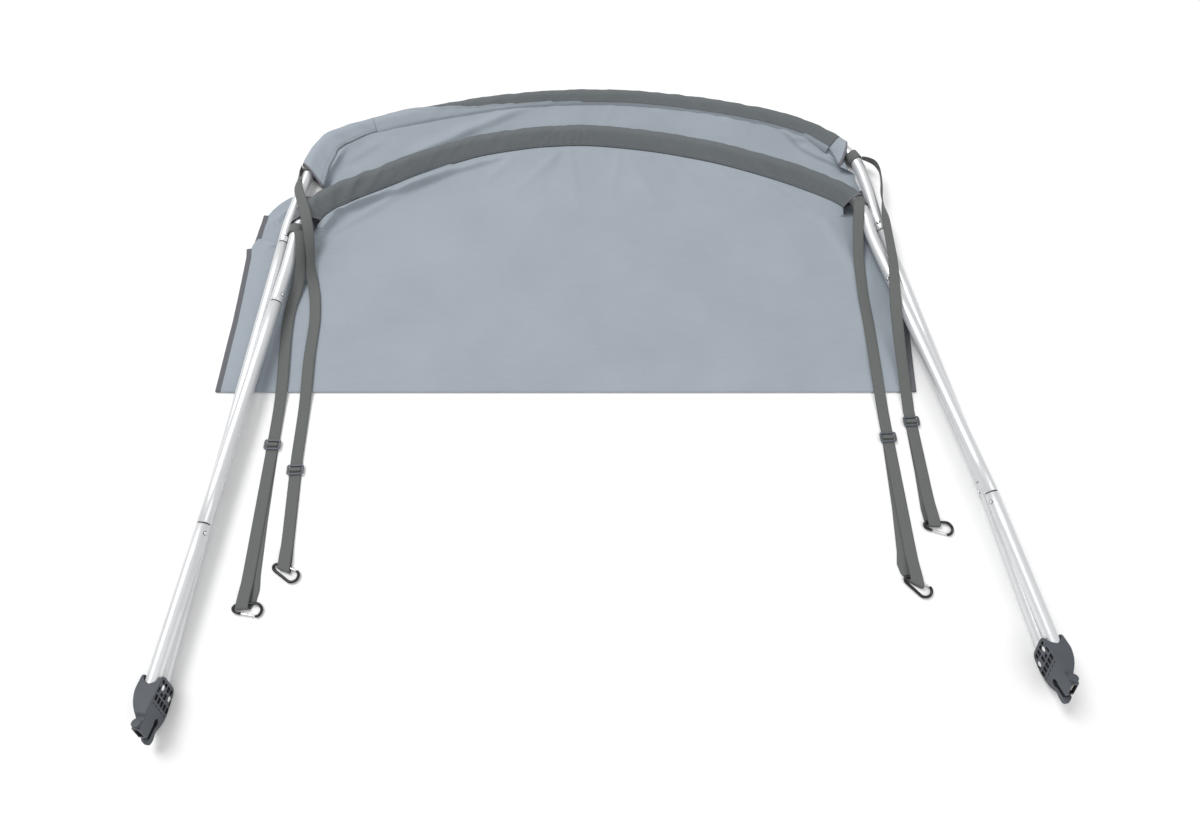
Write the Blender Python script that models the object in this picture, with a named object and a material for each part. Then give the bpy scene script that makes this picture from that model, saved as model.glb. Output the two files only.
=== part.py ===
"""Two-bow bimini top, folded and lying on a flat surface.

Frame: metres, +X to the right, +Y from the feet towards the arches, +Z up. The set lies on Z = 0
and the origin is the middle of its footprint. Tables below are in millimetres and are scaled by MM;
their axes lie ORIGIN away from it.
"""
import math

import bmesh
import bpy
from mathutils import Matrix, Vector

MM = 0.001
GAP = 0.0003            # clearance that touching pieces keep

ORIGIN = Vector((0.00001, 0.00755, 0.00009))   # middle of the footprint in the tables' own axes

# Aluminium bows
TUBE_R = 0.0110
TUBE_WALL = 0.0012
SPIGOT_R = 0.0088       # swaged end of a mid section
SPIGOT_BORE_R = 0.0076
SPIGOT_LENGTH = 0.032
JOINT_GAP = 0.0006      # line that shows where two tube sections meet
STRAIGHT_END = 0.045    # an arch starts straight, so that the spigot fits in it
STRAIGHT_SIDES = 12
ARCH_SIDES = 10
ARCH_STEP = 0.075       # section spacing on the nearly straight crown
ARCH_TURN = math.radians(12.5)   # and in the bends

# Snap buttons at the tube joints
BUTTON_R = 0.0030
BUTTON_HOLE_R = 0.0037
BUTTON_FROM_JOINT = 0.016
BUTTON_ROOT = 0.0062    # distance of the button's inner end from the tube axis
BUTTON_PROUD = 0.0024

# Cloth
CLOTH = 0.0012          # thickness of the canopy cloth
CLOTH_REST = 0.0009     # height of the lower layer's middle
CLOTH_TOP = 0.0033      # height of the upper layer's middle
SLEEVE_R = 0.0136       # outer radius of a pole sleeve where it wraps the tube
SLEEVE_WALL = 0.0014
SEAM_HALF = 0.0017      # half the height of the sewn edge of a sleeve
SEAM_GAP = 0.0020
BINDING_WIDTH = 0.0085
BINDING_THICK = 0.0013

# Webbing straps and their fittings
WEB_WIDTH = 0.0200
WEB_THICK = 0.0013
BAND_R = 0.0123         # inner radius of the loop round the tube
BAND_THICK = 0.0014
BAND_WIDTH = 0.0200
SLIDER = (0.0285, 0.0185, 0.0026)     # width, length along the strap, thickness
SLIDER_BAR = 0.0032                   # end and side bars
SLIDER_MID = 0.0030                   # middle bar
SLIDER_Z = 0.0048                     # height of the slider's middle
RETURN_Z = 0.0009                     # height of the doubled strap's lower layer
DOUBLE_Z = 0.0026                     # and of its upper layer

# Snap hooks
HOOK_ROD = 0.0023
GATE_ROD = 0.0019
HOOK_Z = 0.0046                       # height of the bar under the strap
HOOK_TILT = math.radians(5.0)         # the far side of the hook lies lower
LOOP_REACH = 0.0082                   # how far the strap's loop hangs past the bar
LOOP_ROOM = 0.0135                    # how far before the bar the strap is lifted

# Foot brackets, in their own axes: l along the bracket to the foot, c across it, t outward
PLATE_IN, PLATE_OUT = -0.0175, 0.0155
FOOT_OUT = -0.0045      # the foot is thinner than the housing
WALL = 0.0030
POCKET_DEPTH = 0.0015
RIVET_R = 0.0024
RIVET_HEAD_R = 0.0040
RIVET_HEAD = 0.0013
RIVET_HOLE_R = 0.0029

# Bows, one row for each station: x, y, z of the tube's axis. The far bow is the longer, lower one.
BOWS = {
    "far": {
        "foot_left": (-674.0, -566.0, 11.6), "low_left": (-649.0, -222.0, 15.5),
        "top_left": (-613.0, 257.0, 18.5),
        "arch": [(-598.5, 372, 18), (-591.5, 416, 17.5), (-583.0, 463, 16.5),
                 (-562.0, 508, 15.5), (-516.0, 540, 14.5), (-469.0, 560, 14.2), (-368.0, 589, 14),
                 (-259.0, 614, 14), (-177.0, 627, 14), (-87.0, 635, 14), (28.0, 635, 14),
                 (112.0, 627, 14), (202.0, 613, 14), (317.0, 586, 14), (398.0, 555, 14.5),
                 (449.0, 523, 15), (484.0, 487, 15.8), (503.0, 450, 16.8), (513.0, 394, 17.5)],
        "top_right": (528.0, 286.0, 18.5), "low_right": (625.0, -222.0, 15.5),
        "foot_right": (672.0, -514.0, 11.6),
    },
    "near": {
        "foot_left": (-673.5, -553.5, 39.6), "low_left": (-646.0, -303.0, 37.8),
        "top_left": (-600.5, 117.0, 32.0),
        "arch": [(-592.5, 195, 30), (-589.0, 248, 29), (-586.0, 290, 28), (-566.0, 342, 26),
                 (-520.0, 382, 23.5), (-450.0, 421, 22), (-379.0, 459, 21), (-305.0, 489, 20.5),
                 (-251.0, 507, 20.5), (-172.0, 523, 20.5), (-113.0, 530, 20.5), (-29.0, 532, 20.5),
                 (82.0, 519, 20.5), (165.0, 502, 20.5), (249.0, 479, 20.5), (358.0, 437, 21),
                 (435.0, 397, 22.5), (478.0, 364, 24), (496.0, 326, 25.5), (503.0, 272, 27),
                 (512.0, 228, 28.5)],
        "top_right": (530.0, 154.0, 30.0), "low_right": (624.5, -250.0, 37.8),
        "foot_right": (671.5, -496.0, 39.6),
    },
}

# Which way each joint's button points: side inward in x, and how far it is turned up
BUTTON_UP = {
    ("far", "top"): math.radians(62.0), ("far", "low"): math.radians(-20.0),
    ("near", "top"): math.radians(25.0), ("near", "low"): math.radians(25.0),
}

# Pole sleeves. span: from and to, as shares of the arch's length. mouth: how far the cut end leans, in
# metres along the tube for each metre inward. rows: share of the piece's own length, how far inward the
# sewn edge lies, how far above the tube's axis, extra radius, extra bulge on the outer side, in mm.
SLEEVES = {
    "cuff_left": {
        "bow": "far", "span": (0.1112, 0.2293), "mouth": (-0.85, 0.0), "finish": "canopy",
        "rows": [(0.0, 38, -3, 2.9, 0.0), (0.26, 36, 0, 2.8, 0.5), (0.5, 30, 2, 0, 4.0), (0.62, 27, 2, 0, 5.0),
                 (1.0, 22, 2, 0, 0.5)]},
    "sleeve_far": {
        "bow": "far", "span": (0.2295, 0.8500), "mouth": (0.0, 0.0), "finish": "sleeve",
        "rows": [(0.0, 22, 2, 0, 0.5), (0.1, 21, 2, 0, 0), (0.5, 21, 2, 0, 0), (0.92, 22, 2, 0, 0),
                 (1.0, 25, 1, 0, 0)]},
    "cuff_right": {
        "bow": "far", "span": (0.8502, 0.8670), "mouth": (0.0, 0.9), "finish": "canopy",
        "rows": [(0.0, 25, 1, 0, 0), (1.0, 36, -1, 0.8, 0)]},
    "sleeve_near": {
        "bow": "near", "span": (0.1170, 0.8680), "mouth": (0.8, -0.15), "finish": "sleeve",
        "rows": [(0.0, 30, -6, 0.8, 0), (0.1, 31, -8, 0, 0), (0.5, 30, -7, 0, 0), (0.9, 29, -8, 0, 0),
                 (1.0, 27, -7, 0.4, 0)]},
}
MOUTH_FADE = 0.060      # a leaning mouth straightens over this length
SLEEVE_ORDER = {"far": ("cuff_left", "sleeve_far", "cuff_right"), "near": ("sleeve_near",)}

# Canopy. Each layer runs from its seam to a level line, then on to the fold. The tables give the side
# edges beyond that line: share of the way from the line to the fold, x, y.
FOLD_LEFT, FOLD_RIGHT = (-682.0, -50.0), (537.0, -50.0)
LEVEL = {"lower": (380.0, 420.0), "upper": (296.0, 334.0)}     # y of the line at the left and right
EDGES = {
    "lower_left": [(0.04, -590, 384), (0.075, -618, 385), (0.12, -642, 365), (0.17, -661, 340),
                   (0.22, -663, 312), (0.3, -668, 274), (0.67, -675, 97), (1.0, -682, -50)],
    "upper_left": [(0.05, -596, 283), (0.11, -624, 269), (0.16, -645, 267), (0.2, -659, 266),
                   (0.24, -668, 259), (0.3, -672, 240), (0.6, -676, 97), (1.0, -682, -50)],
    "lower_right": [(0.06, 497, 402), (0.12, 513, 375), (0.2, 529, 340), (0.3, 542, 300), (0.45, 547, 235),
                    (0.7, 547, 121), (1.0, 537, -50)],
    "upper_right": [(0.05, 487, 334), (0.12, 503, 311), (0.22, 523, 283), (0.35, 539, 240), (0.6, 545, 121),
                    (1.0, 537, -50)],
}
BOUND_FROM = {"lower_left": 0.17, "upper_left": 0.24, "lower_right": 0.06, "upper_right": 0.05}
EDGE_REACH = 0.24       # share of the width over which an edge's own shape dies out
SETTLE = {"lower": (15.0, 62.0, 20.0), "upper": (25.0, 75.0, 22.0)}   # mm to lie flat: left, middle, right
COLUMNS = 28
SEAM_ROWS = (0.0, 0.14, 0.30, 0.50, 0.74)     # shares of the way from the seam to the level line
FLAT_ROWS = (0.0, 0.05, 0.10, 0.15, 0.20, 0.25, 0.34, 0.48, 0.66, 0.84, 0.985)

# Straps, one row for each station: x, y, z, and roll in degrees (positive lifts the right edge).
# A strap runs from its loop on the bow down to its snap hook. aside: how far the doubled strap's lower
# layer lies to the right of the upper one at the hook.
STRAPS = {
    "left_far": {
        "bow": "far", "side": "left", "band": (0.1112, 0.006), "aside": 0.0,
        "rows": [(-602.6, 437, 20.5, 82), (-605.5, 420, 22.5, 74), (-604, 400, 28.5, 48), (-597.5, 376, 33.5, 22),
                 (-585.0, 345, 40.5, 14), (-573.5, 317, 45.5, 5), (-565.0, 289, 45.0, -12),
                 (-558.5, 259, 38.5, -35), (-555.0, 227, 27.0, -55), (-551.5, 198, 17.5, -50),
                 (-547.0, 172, 11.0, -20), (-540.5, 143, 7.8, 0), (-534.0, 92, 7.4, 0), (-533.0, 20, 7.4, 0),
                 (-529.5, -40, 7.2, 0), (-528.5, -85, 3.4, 0)],
        "slider": (-526.5, -197.0), "hook": (-518.5, -363.0),
    },
    "left_near": {
        "bow": "near", "side": "left", "band": (0.1170, -0.022), "aside": 0.011,
        "rows": [(-578.5, 272, 40.3, -20), (-572.5, 248, 38.5, -35), (-569.5, 218, 31.0, -45),
                 (-570.0, 190, 21.5, -40), (-575.5, 158, 12.5, -20), (-582.0, 117, 7.8, 0),
                 (-581.0, 62, 7.4, 0), (-573.5, -35, 7.2, 0), (-572.5, -80, 3.4, 0)],
        "slider": (-572.5, -151.0), "hook": (-574.5, -424.5),
    },
    "right_near": {
        "bow": "near", "side": "right", "band": (0.8680, 0.0125), "aside": -0.015,
        "rows": [(485.5, 344, 38.9, 12), (482.5, 318, 36.0, 16), (479.5, 290, 28.5, 14), (478.5, 256, 18.0, 8),
                 (478.0, 222, 10.5, 0), (477.5, 180, 7.8, 0), (477.0, 140, 7.4, 0), (479.0, 76, 7.2, 0),
                 (479.5, -35, 7.0, 0), (481.0, -80, 3.4, 0)],
        "slider": (483.0, -137.0), "hook": (492.5, -385.0),
    },
    "right_far": {
        "bow": "far", "side": "right", "band": (0.8670, 0.0235), "aside": -0.005,
        "rows": [(509.6, 460.5, 26.0, -62), (521.5, 455, 27.0, -70), (533.5, 446, 27.0, -74), (540.5, 430, 25.5, -74),
                 (541.0, 408, 24.5, -78), (538.0, 380, 25.0, -84), (535.5, 350, 28.5, -66), (533.0, 311, 34.5, -30),
                 (531.0, 262, 38.5, -20), (529.0, 207, 43.5, -16), (524.0, 160, 46.5, -6), (519.8, 120, 46.0, 6),
                 (518.7, 84, 41.5, 10), (520.5, 38, 29.5, 6), (524.0, -4, 16.5, 0), (526.0, -50, 7.0, 0),
                 (526.7, -72, 3.6, 0)],
        "slider": (527.5, -107.0), "hook": (535.8, -289.0),
    },
}


def scaled(row):
    return Vector(row) * MM


def material(name, colour, roughness, metallic=0.0):
    made = bpy.data.materials.new(name)
    made.use_nodes = True
    shader = made.node_tree.nodes["Principled BSDF"]
    shader.inputs["Base Color"].default_value = (*colour, 1.0)
    shader.inputs["Roughness"].default_value = roughness
    shader.inputs["Metallic"].default_value = metallic
    return made


FINISHES = {
    "tube": ((0.72, 0.74, 0.76), 0.35, 0.6),
    "canopy": ((0.36, 0.39, 0.42), 0.85, 0.0),
    "sleeve": ((0.16, 0.17, 0.18), 0.85, 0.0),
    "binding": ((0.12, 0.12, 0.13), 0.9, 0.0),
    "webbing": ((0.15, 0.155, 0.15), 0.9, 0.0),
    "fitting": ((0.13, 0.15, 0.17), 0.5, 0.0),
    "black": ((0.015, 0.015, 0.015), 0.4, 0.3),
    "bright": ((0.8, 0.8, 0.8), 0.25, 1.0),
}


def new_object(name, mesh, finish, sharp=35.0):
    mesh.materials.append(material(name, *FINISHES[finish]))
    mesh.shade_smooth()
    mesh.set_sharp_from_angle(angle=math.radians(sharp))
    made = bpy.data.objects.new(name, mesh)
    bpy.context.scene.collection.objects.link(made)
    return made


def set_origin(made, point):
    made.data.transform(Matrix.Translation(-point))
    made.location = point


def mesh_of(name, points, faces):
    mesh = bpy.data.meshes.new(name)
    mesh.from_pydata([tuple(p) for p in points], [], faces)
    shape = bmesh.new()
    shape.from_mesh(mesh)
    bmesh.ops.recalc_face_normals(shape, faces=shape.faces)
    shape.to_mesh(mesh)
    shape.free()
    return mesh


def bridge(rings, closed_ring=True):
    """Quads between successive rings of equally many points, numbered ring by ring."""
    count = len(rings[0])
    last = count if closed_ring else count - 1
    faces = []
    for r in range(len(rings) - 1):
        for i in range(last):
            j = (i + 1) % count
            faces.append((r * count + i, r * count + j, (r + 1) * count + j, (r + 1) * count + i))
    return faces


def loft(name, rings):
    """A closed body through rings of points, with flat ends."""
    points = [p for ring in rings for p in ring]
    count = len(rings[0])
    ends = [tuple(range(count)), tuple(range(len(points) - count, len(points)))]
    return mesh_of(name, points, bridge(rings) + ends)


def pipe(name, outer, inner):
    """A hollow body between outer and inner rings, open at both ends."""
    count, offset = len(outer[0]), len(outer) * len(outer[0])
    points = [p for ring in outer + inner for p in ring]
    faces = bridge(outer) + [tuple(offset + i for i in reversed(f)) for f in bridge(inner)]
    for ring in (0, len(outer) - 1):
        for i in range(count):
            a, b = ring * count + i, ring * count + (i + 1) % count
            faces.append((a, b, b + offset, a + offset))
    return mesh_of(name, points, faces)


def smooth_path(stations, per_span=12):
    """A dense polyline on the Catmull-Rom curve through the stations, which may have any width."""
    rows = [[float(v) for v in row] for row in stations]
    first = [2 * a - b for a, b in zip(rows[0], rows[1])]
    last = [2 * a - b for a, b in zip(rows[-1], rows[-2])]
    rows = [first] + rows + [last]
    dense = []
    for k in range(1, len(rows) - 2):
        for s in range(per_span):
            t = s / per_span
            dense.append([0.5 * (2 * b + (c - a) * t + (2 * a - 5 * b + 4 * c - d) * t * t
                                 + (3 * b - a - 3 * c + d) * t ** 3)
                          for a, b, c, d in zip(*rows[k - 1:k + 3])])
    dense.append(rows[-2])
    return dense


def read_table(table, share):
    """Reads a table of (share, values...) by straight lines between its rows."""
    for low, high in zip(table, table[1:]):
        if share <= high[0]:
            t = (share - low[0]) / (high[0] - low[0])
            t = min(1.0, max(0.0, t))
            return [a + (b - a) * t for a, b in zip(low[1:], high[1:])]
    return list(table[-1][1:])


class Path:
    """A polyline read by length."""

    def __init__(self, points):
        self.points = [Vector(p) for p in points]
        self.at = [0.0]
        for a, b in zip(self.points, self.points[1:]):
            self.at.append(self.at[-1] + (b - a).length)
        self.length = self.at[-1]

    def place(self, s):
        s = min(self.length, max(0.0, s))
        k = next((i for i in range(1, len(self.at)) if self.at[i] >= s), len(self.at) - 1)
        t = (s - self.at[k - 1]) / max(1e-9, self.at[k] - self.at[k - 1])
        return self.points[k - 1].lerp(self.points[k], t)

    def heading(self, s, reach=0.006):
        return (self.place(min(s + reach, self.length)) - self.place(max(s - reach, 0.0))).normalized()

    def stops(self, start, end, step, turn, rolls=((0.0, 0.0), (1.0, 0.0))):
        """Lengths between start and end, closer together where the path bends or rolls."""
        fine = max(8, int((end - start) / 0.004))
        spots = [start + (end - start) * i / fine for i in range(fine + 1)]
        cost = [0.0]
        for a, b in zip(spots, spots[1:]):
            bend = self.heading(a).angle(self.heading(b), 0.0)
            roll = math.radians(abs(read_table(rolls, b)[0] - read_table(rolls, a)[0]))
            cost.append(cost[-1] + (b - a) / step + (bend + roll) / turn)
        count = max(1, round(cost[-1]))
        found, k = [], 0
        for i in range(count + 1):
            goal = cost[-1] * i / count
            while k < len(cost) - 2 and cost[k + 1] < goal:
                k += 1
            t = (goal - cost[k]) / max(1e-9, cost[k + 1] - cost[k])
            found.append(spots[k] + (spots[k + 1] - spots[k]) * min(1.0, t))
        return found


def level_axes(heading):
    """Axes across a path: side lies level to its right, and rise is square to both."""
    side = heading.cross(Vector((0, 0, 1))).normalized()
    return side, side.cross(heading).normalized()


def ring(centre, heading, radius, sides):
    side, rise = level_axes(heading)
    turn = 2 * math.pi / sides
    return [centre + radius * (math.cos(turn * i) * side + math.sin(turn * i) * rise) for i in range(sides)]


# ------------------------------------------------------------------ bows

def arch_path(bow):
    rows = BOWS[bow]
    left = (scaled(rows["top_left"]) - scaled(rows["low_left"])).normalized()
    right = (scaled(rows["top_right"]) - scaled(rows["low_right"])).normalized()
    start = [scaled(rows["top_left"]) + left * s for s in (JOINT_GAP, STRAIGHT_END)]
    end = [scaled(rows["top_right"]) + right * s for s in (STRAIGHT_END, JOINT_GAP)]
    return Path(smooth_path(start + [scaled(r) for r in rows["arch"]] + end, 10))


def arch_polyline(bow):
    """The arch as the straight lengths between its sections, so that what rides on it follows them."""
    smooth = arch_path(bow)
    return Path([smooth.place(s) for s in smooth.stops(0.0, smooth.length, ARCH_STEP, ARCH_TURN)])


ARCH = {bow: arch_polyline(bow) for bow in BOWS}
ARCH_STOPS = {bow: path.at for bow, path in ARCH.items()}


def joint_frame(bow, side, level):
    """Where two tube sections meet, and the way from the foot up to the arch there."""
    rows = BOWS[bow]
    at = scaled(rows[f"{level}_{side}"])
    if level == "top":
        arch = ARCH[bow]
        spot = BUTTON_FROM_JOINT if side == "left" else arch.length - BUTTON_FROM_JOINT
        up = (arch.place(spot) - at).normalized()
    else:
        up = (at - scaled(rows[f"foot_{side}"])).normalized()
    return at, up


def button_frame(bow, side, level):
    """The middle of a snap button on the tube's axis, and the way that it points."""
    at, up = joint_frame(bow, side, level)
    centre = at + up * (BUTTON_FROM_JOINT if level == "top" else -BUTTON_FROM_JOINT)
    inward = Vector((1 if side == "left" else -1, 0, 0))
    inward = (inward - inward.dot(up) * up).normalized()
    rise = up.cross(inward)
    if rise.z < 0:
        rise = -rise
    tilt = BUTTON_UP[bow, level]
    return centre, (math.cos(tilt) * inward + math.sin(tilt) * rise).normalized()


def drill(target, centre, axis, radius, depth_from, depth_to, sides=8):
    """Cuts a round hole along axis, between two distances from centre."""
    rings = [ring(centre + axis * d, axis, radius, sides) for d in (depth_from, depth_to)]
    mesh = loft(f"cut_{target.name}", rings)
    cut_with(target, mesh)


def cut_with(target, mesh):
    cutter = bpy.data.objects.new(mesh.name, mesh)
    bpy.context.scene.collection.objects.link(cutter)
    cutter.hide_render = True
    cutter.display_type = "WIRE"
    modifier = target.modifiers.new("cut", "BOOLEAN")
    modifier.operation = "DIFFERENCE"
    modifier.solver = "EXACT"
    modifier.object = cutter


def make_arch(bow):
    path, stops = ARCH[bow], ARCH_STOPS[bow]
    outer = [ring(path.place(s), path.heading(s), TUBE_R, ARCH_SIDES) for s in stops]
    inner = [ring(path.place(s), path.heading(s), TUBE_R - TUBE_WALL, ARCH_SIDES) for s in stops]
    name = f"bow_{bow}_arch"
    arch = new_object(name, pipe(name, outer, inner), "tube")
    for side in ("left", "right"):
        centre, out = button_frame(bow, side, "top")
        drill(arch, centre, out, BUTTON_HOLE_R, TUBE_R * 0.5, TUBE_R * 1.4)


def straight_pipe(name, start, end, profile):
    """profile lists (share of a length from either end, outer radius, bore radius) in metres."""
    heading = (end - start).normalized()
    outer = [ring(start + heading * s, heading, r, STRAIGHT_SIDES) for s, r, _ in profile]
    inner = [ring(start + heading * s, heading, b, STRAIGHT_SIDES) for s, _, b in profile]
    return new_object(name, pipe(name, outer, inner), "tube")


def make_mid(bow, side):
    """Middle section of a leg, with a swaged spigot at each end."""
    low, high = scaled(BOWS[bow][f"low_{side}"]), scaled(BOWS[bow][f"top_{side}"])
    length = (high - low).length
    heading = (high - low) / length
    body = [(-SPIGOT_LENGTH, SPIGOT_R, SPIGOT_BORE_R), (0.0, SPIGOT_R, SPIGOT_BORE_R),
            (0.0, TUBE_R, SPIGOT_BORE_R), (length, TUBE_R, SPIGOT_BORE_R),
            (length, SPIGOT_R, SPIGOT_BORE_R), (length + SPIGOT_LENGTH, SPIGOT_R, SPIGOT_BORE_R)]
    rings = {"outer": [], "inner": []}
    for level, base, rows in (("low", low, body[:3]), ("top", high, body[3:])):
        _, up = joint_frame(bow, side, level)
        for s, radius, bore in rows:
            reach = s if level == "low" else s - length
            way = up if abs(reach) > 0 else heading
            rings["outer"].append(ring(base + way * reach, way, radius, STRAIGHT_SIDES))
            rings["inner"].append(ring(base + way * reach, way, bore, STRAIGHT_SIDES))
    name = f"bow_{bow}_mid_{side}"
    leg = new_object(name, pipe(name, rings["outer"], rings["inner"]), "tube")
    for level in ("low", "top"):
        centre, out = button_frame(bow, side, level)
        drill(leg, centre, out, BUTTON_HOLE_R, SPIGOT_BORE_R * 0.6, TUBE_R * 1.4)


def make_lower(bow, side):
    """Lower leg: from its pivot in the foot bracket up to the first joint."""
    foot, low = scaled(BOWS[bow][f"foot_{side}"]), scaled(BOWS[bow][f"low_{side}"])
    heading = (low - foot).normalized()
    end = low - heading * JOINT_GAP
    start = foot - heading * TUBE_R * 0.8
    length = (end - start).length
    bore = TUBE_R - TUBE_WALL
    name = f"bow_{bow}_lower_{side}"
    leg = straight_pipe(name, start, end, [(0.0, TUBE_R, bore), (length, TUBE_R, bore)])
    centre, out = button_frame(bow, side, "low")
    drill(leg, centre, out, BUTTON_HOLE_R, TUBE_R * 0.5, TUBE_R * 1.4)
    across = bracket_axes(side)[2]
    drill(leg, foot, across, RIVET_HOLE_R, -TUBE_R * 1.6, TUBE_R * 1.6)


def make_button(bow, side, level):
    """Domed snap button that stands in the holes of both tubes."""
    centre, out = button_frame(bow, side, level)
    tip = TUBE_R + BUTTON_PROUD
    profile = [(BUTTON_ROOT, BUTTON_R), (tip - 0.0012, BUTTON_R), (tip - 0.0003, BUTTON_R * 0.72), (tip, BUTTON_R * 0.3)]
    rings = [ring(centre + out * d, out, r, 8) for d, r in profile]
    name = f"button_{bow}_{level}_{side}"
    set_origin(new_object(name, loft(name, rings), "bright"), centre)


# ------------------------------------------------------------------ cloth

def sleeve_profile(seam_in, seam_up, slack, bulge, inset):
    """Outline of a sleeve round its tube, (inward, up), from the top round the outer side to the seam."""
    radius = SLEEVE_R + slack - inset
    tip = seam_in - 3.4 * inset
    half = max(0.0004, SEAM_HALF - inset * 0.9)
    corners = [(tip, seam_up + half), (tip, seam_up - half)]
    tangents = []
    for sign, (x, y) in zip((1, -1), corners):
        away = math.hypot(x, y)
        angle = math.atan2(y, x) + sign * math.acos(min(1.0, radius / away))
        tangents.append((radius * math.cos(angle), radius * math.sin(angle)))
    arc = []
    for i in range(6):
        angle = math.radians(90 + 36 * i)
        arc.append((radius * math.cos(angle) * (1 + bulge / radius), radius * math.sin(angle)))
    return [tangents[0]] + arc + [tangents[1], corners[1], corners[0]]


def sleeve_rings(name, inset):
    """Rings of a sleeve along its bow; the end rings lean with the mouth."""
    spec = SLEEVES[name]
    bow = spec["bow"]
    path = ARCH[bow]
    start, end = (share * path.length for share in spec["span"])
    inner_stops = [s for s in ARCH_STOPS[bow] if start + 0.006 < s < end - 0.006]
    rings = []
    for s in [start] + inner_stops + [end]:
        values = read_table(spec["rows"], (s - start) / (end - start))
        seam_in, seam_up, slack, bulge = (v * MM for v in values)
        reach = min(MOUTH_FADE, end - start)
        fade = [max(0.0, 1 - (s - start) / reach), max(0.0, 1 - (end - s) / reach)]
        lean = sum(m * f for m, f in zip(spec["mouth"], fade))
        found = []
        for a, b in sleeve_profile(seam_in, seam_up, slack, bulge, inset):
            at = s + lean * a
            inward, rise = level_axes(path.heading(at))
            found.append(path.place(at) + inward * a + rise * b)
        rings.append(found)
    return rings


def make_sleeve(name):
    spec = SLEEVES[name]
    new_object(name, pipe(name, sleeve_rings(name, 0.0), sleeve_rings(name, SLEEVE_WALL)), spec["finish"])


def seam_line(bow):
    """The sewn edge of one bow's sleeves, from the left mouth to the right one, a little way off."""
    points = []
    for name in SLEEVE_ORDER[bow]:
        for found in sleeve_rings(name, 0.0):
            middle = (found[-1] + found[-2]) / 2
            outward = found[-1] + found[-2] - found[0] - found[-3]
            outward.z = 0.0
            points.append(middle + outward.normalized() * SEAM_GAP)
    return Path(points)


SEAMS = {}


def seam_point(bow, t):
    if bow not in SEAMS:
        SEAMS[bow] = seam_line(bow)
    return SEAMS[bow].place(SEAMS[bow].length * min(1.0, max(0.0, t)))


def settle(seam_z, rest_z, run, length):
    """Height of cloth that falls from a seam to where it rests, over a length of its run."""
    t = min(1.0, run / length)
    return rest_z + (seam_z - rest_z) * (1 - t) ** 2 * (1 + 0.6 * t)


def cloth_point(layer, t, row):
    """A point of the canopy's middle surface, at share t from its left edge.

    row runs from 0 at the seam to 1 at the level line and on to 2 at the fold."""
    seam = seam_point("far" if layer == "lower" else "near", t)
    fold = scaled((*FOLD_LEFT, 0)).lerp(scaled((*FOLD_RIGHT, 0)), t)
    left, right = LEVEL[layer]
    level_y = (left + (right - left) * t) * MM
    share = (level_y - seam.y) / (fold.y - seam.y)
    level = seam.lerp(fold, share)
    ends = [seam_point("far" if layer == "lower" else "near", e).x for e in (0.0, 1.0)]
    level.x += 0.5 * (ends[0] + (ends[1] - ends[0]) * t - level.x) * min(1.0, 12 * t, 12 * (1 - t))
    flat = max(0.0, row - 1.0)
    point = seam.lerp(level, min(1.0, row)) if row <= 1.0 else level.lerp(fold, flat)
    for side, at in (("left", t), ("right", 1.0 - t)):
        weight = max(0.0, 1.0 - at / EDGE_REACH) ** 1.5
        if weight <= 0.0 or flat <= 0.0:
            continue
        edge_seam = seam_point("far" if layer == "lower" else "near", 0.0 if side == "left" else 1.0)
        edge_fold = scaled((*(FOLD_LEFT if side == "left" else FOLD_RIGHT), 0))
        edge_y = LEVEL[layer][0 if side == "left" else 1] * MM
        start = edge_seam.lerp(edge_fold, (edge_y - edge_seam.y) / (edge_fold.y - edge_seam.y))
        straight = start.lerp(edge_fold, flat)
        table = [(0.0, start.x / MM, start.y / MM)] + EDGES[f"{layer}_{side}"]
        x, y = (v * MM for v in read_table(table, flat))
        point.x += (x - straight.x) * weight
        point.y += (y - straight.y) * weight ** 2.2
    left_run, middle_run, right_run = (v * MM for v in SETTLE[layer])
    calm = min(1.0, t / 0.14)
    length = left_run + (middle_run - left_run) * calm
    if t > 0.86:
        length = middle_run + (right_run - middle_run) * (t - 0.86) / 0.14
    run = math.hypot(point.x - seam.x, point.y - seam.y)
    point.z = settle(seam.z, CLOTH_REST if layer == "lower" else CLOTH_TOP, run, length)
    inside = math.sin(math.pi * min(1.0, max(0.0, t))) ** 0.5
    if layer == "lower":
        ripple = math.exp(-((run - 0.045) / 0.022) ** 2) * inside
        point.z += 0.0013 * ripple * (1 + math.sin(t * 44.0))
    else:
        tuck_at = 0.058 - 0.20 * t
        tuck = math.exp(-((run - tuck_at) / 0.010) ** 2) if 0.05 < t < 0.26 else 0.0
        swell = 0.0014 * inside * math.sin(math.pi * min(1.0, row / 2))
        point.z += 0.0035 * tuck + swell
    return point


def cloth_rows():
    """Every row of the folded sheet, from the far seam round the fold to the near seam."""
    rows = list(SEAM_ROWS) + [1.0 + share for share in FLAT_ROWS]
    turn = [("turn", angle) for angle in (-45.0, 0.0, 45.0)]
    return [("lower", row) for row in rows] + turn + [("upper", row) for row in reversed(rows)]


def row_point(kind, value, t):
    if kind != "turn":
        return cloth_point(kind, t, value)
    low, high = cloth_point("lower", t, 1.995), cloth_point("upper", t, 1.995)
    middle, half = (low.z + high.z) / 2, (high.z - low.z) / 2
    angle = math.radians(value)
    return Vector((low.x, low.y - half * (1.3 * math.cos(angle)), middle + half * math.sin(angle)))


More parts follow.
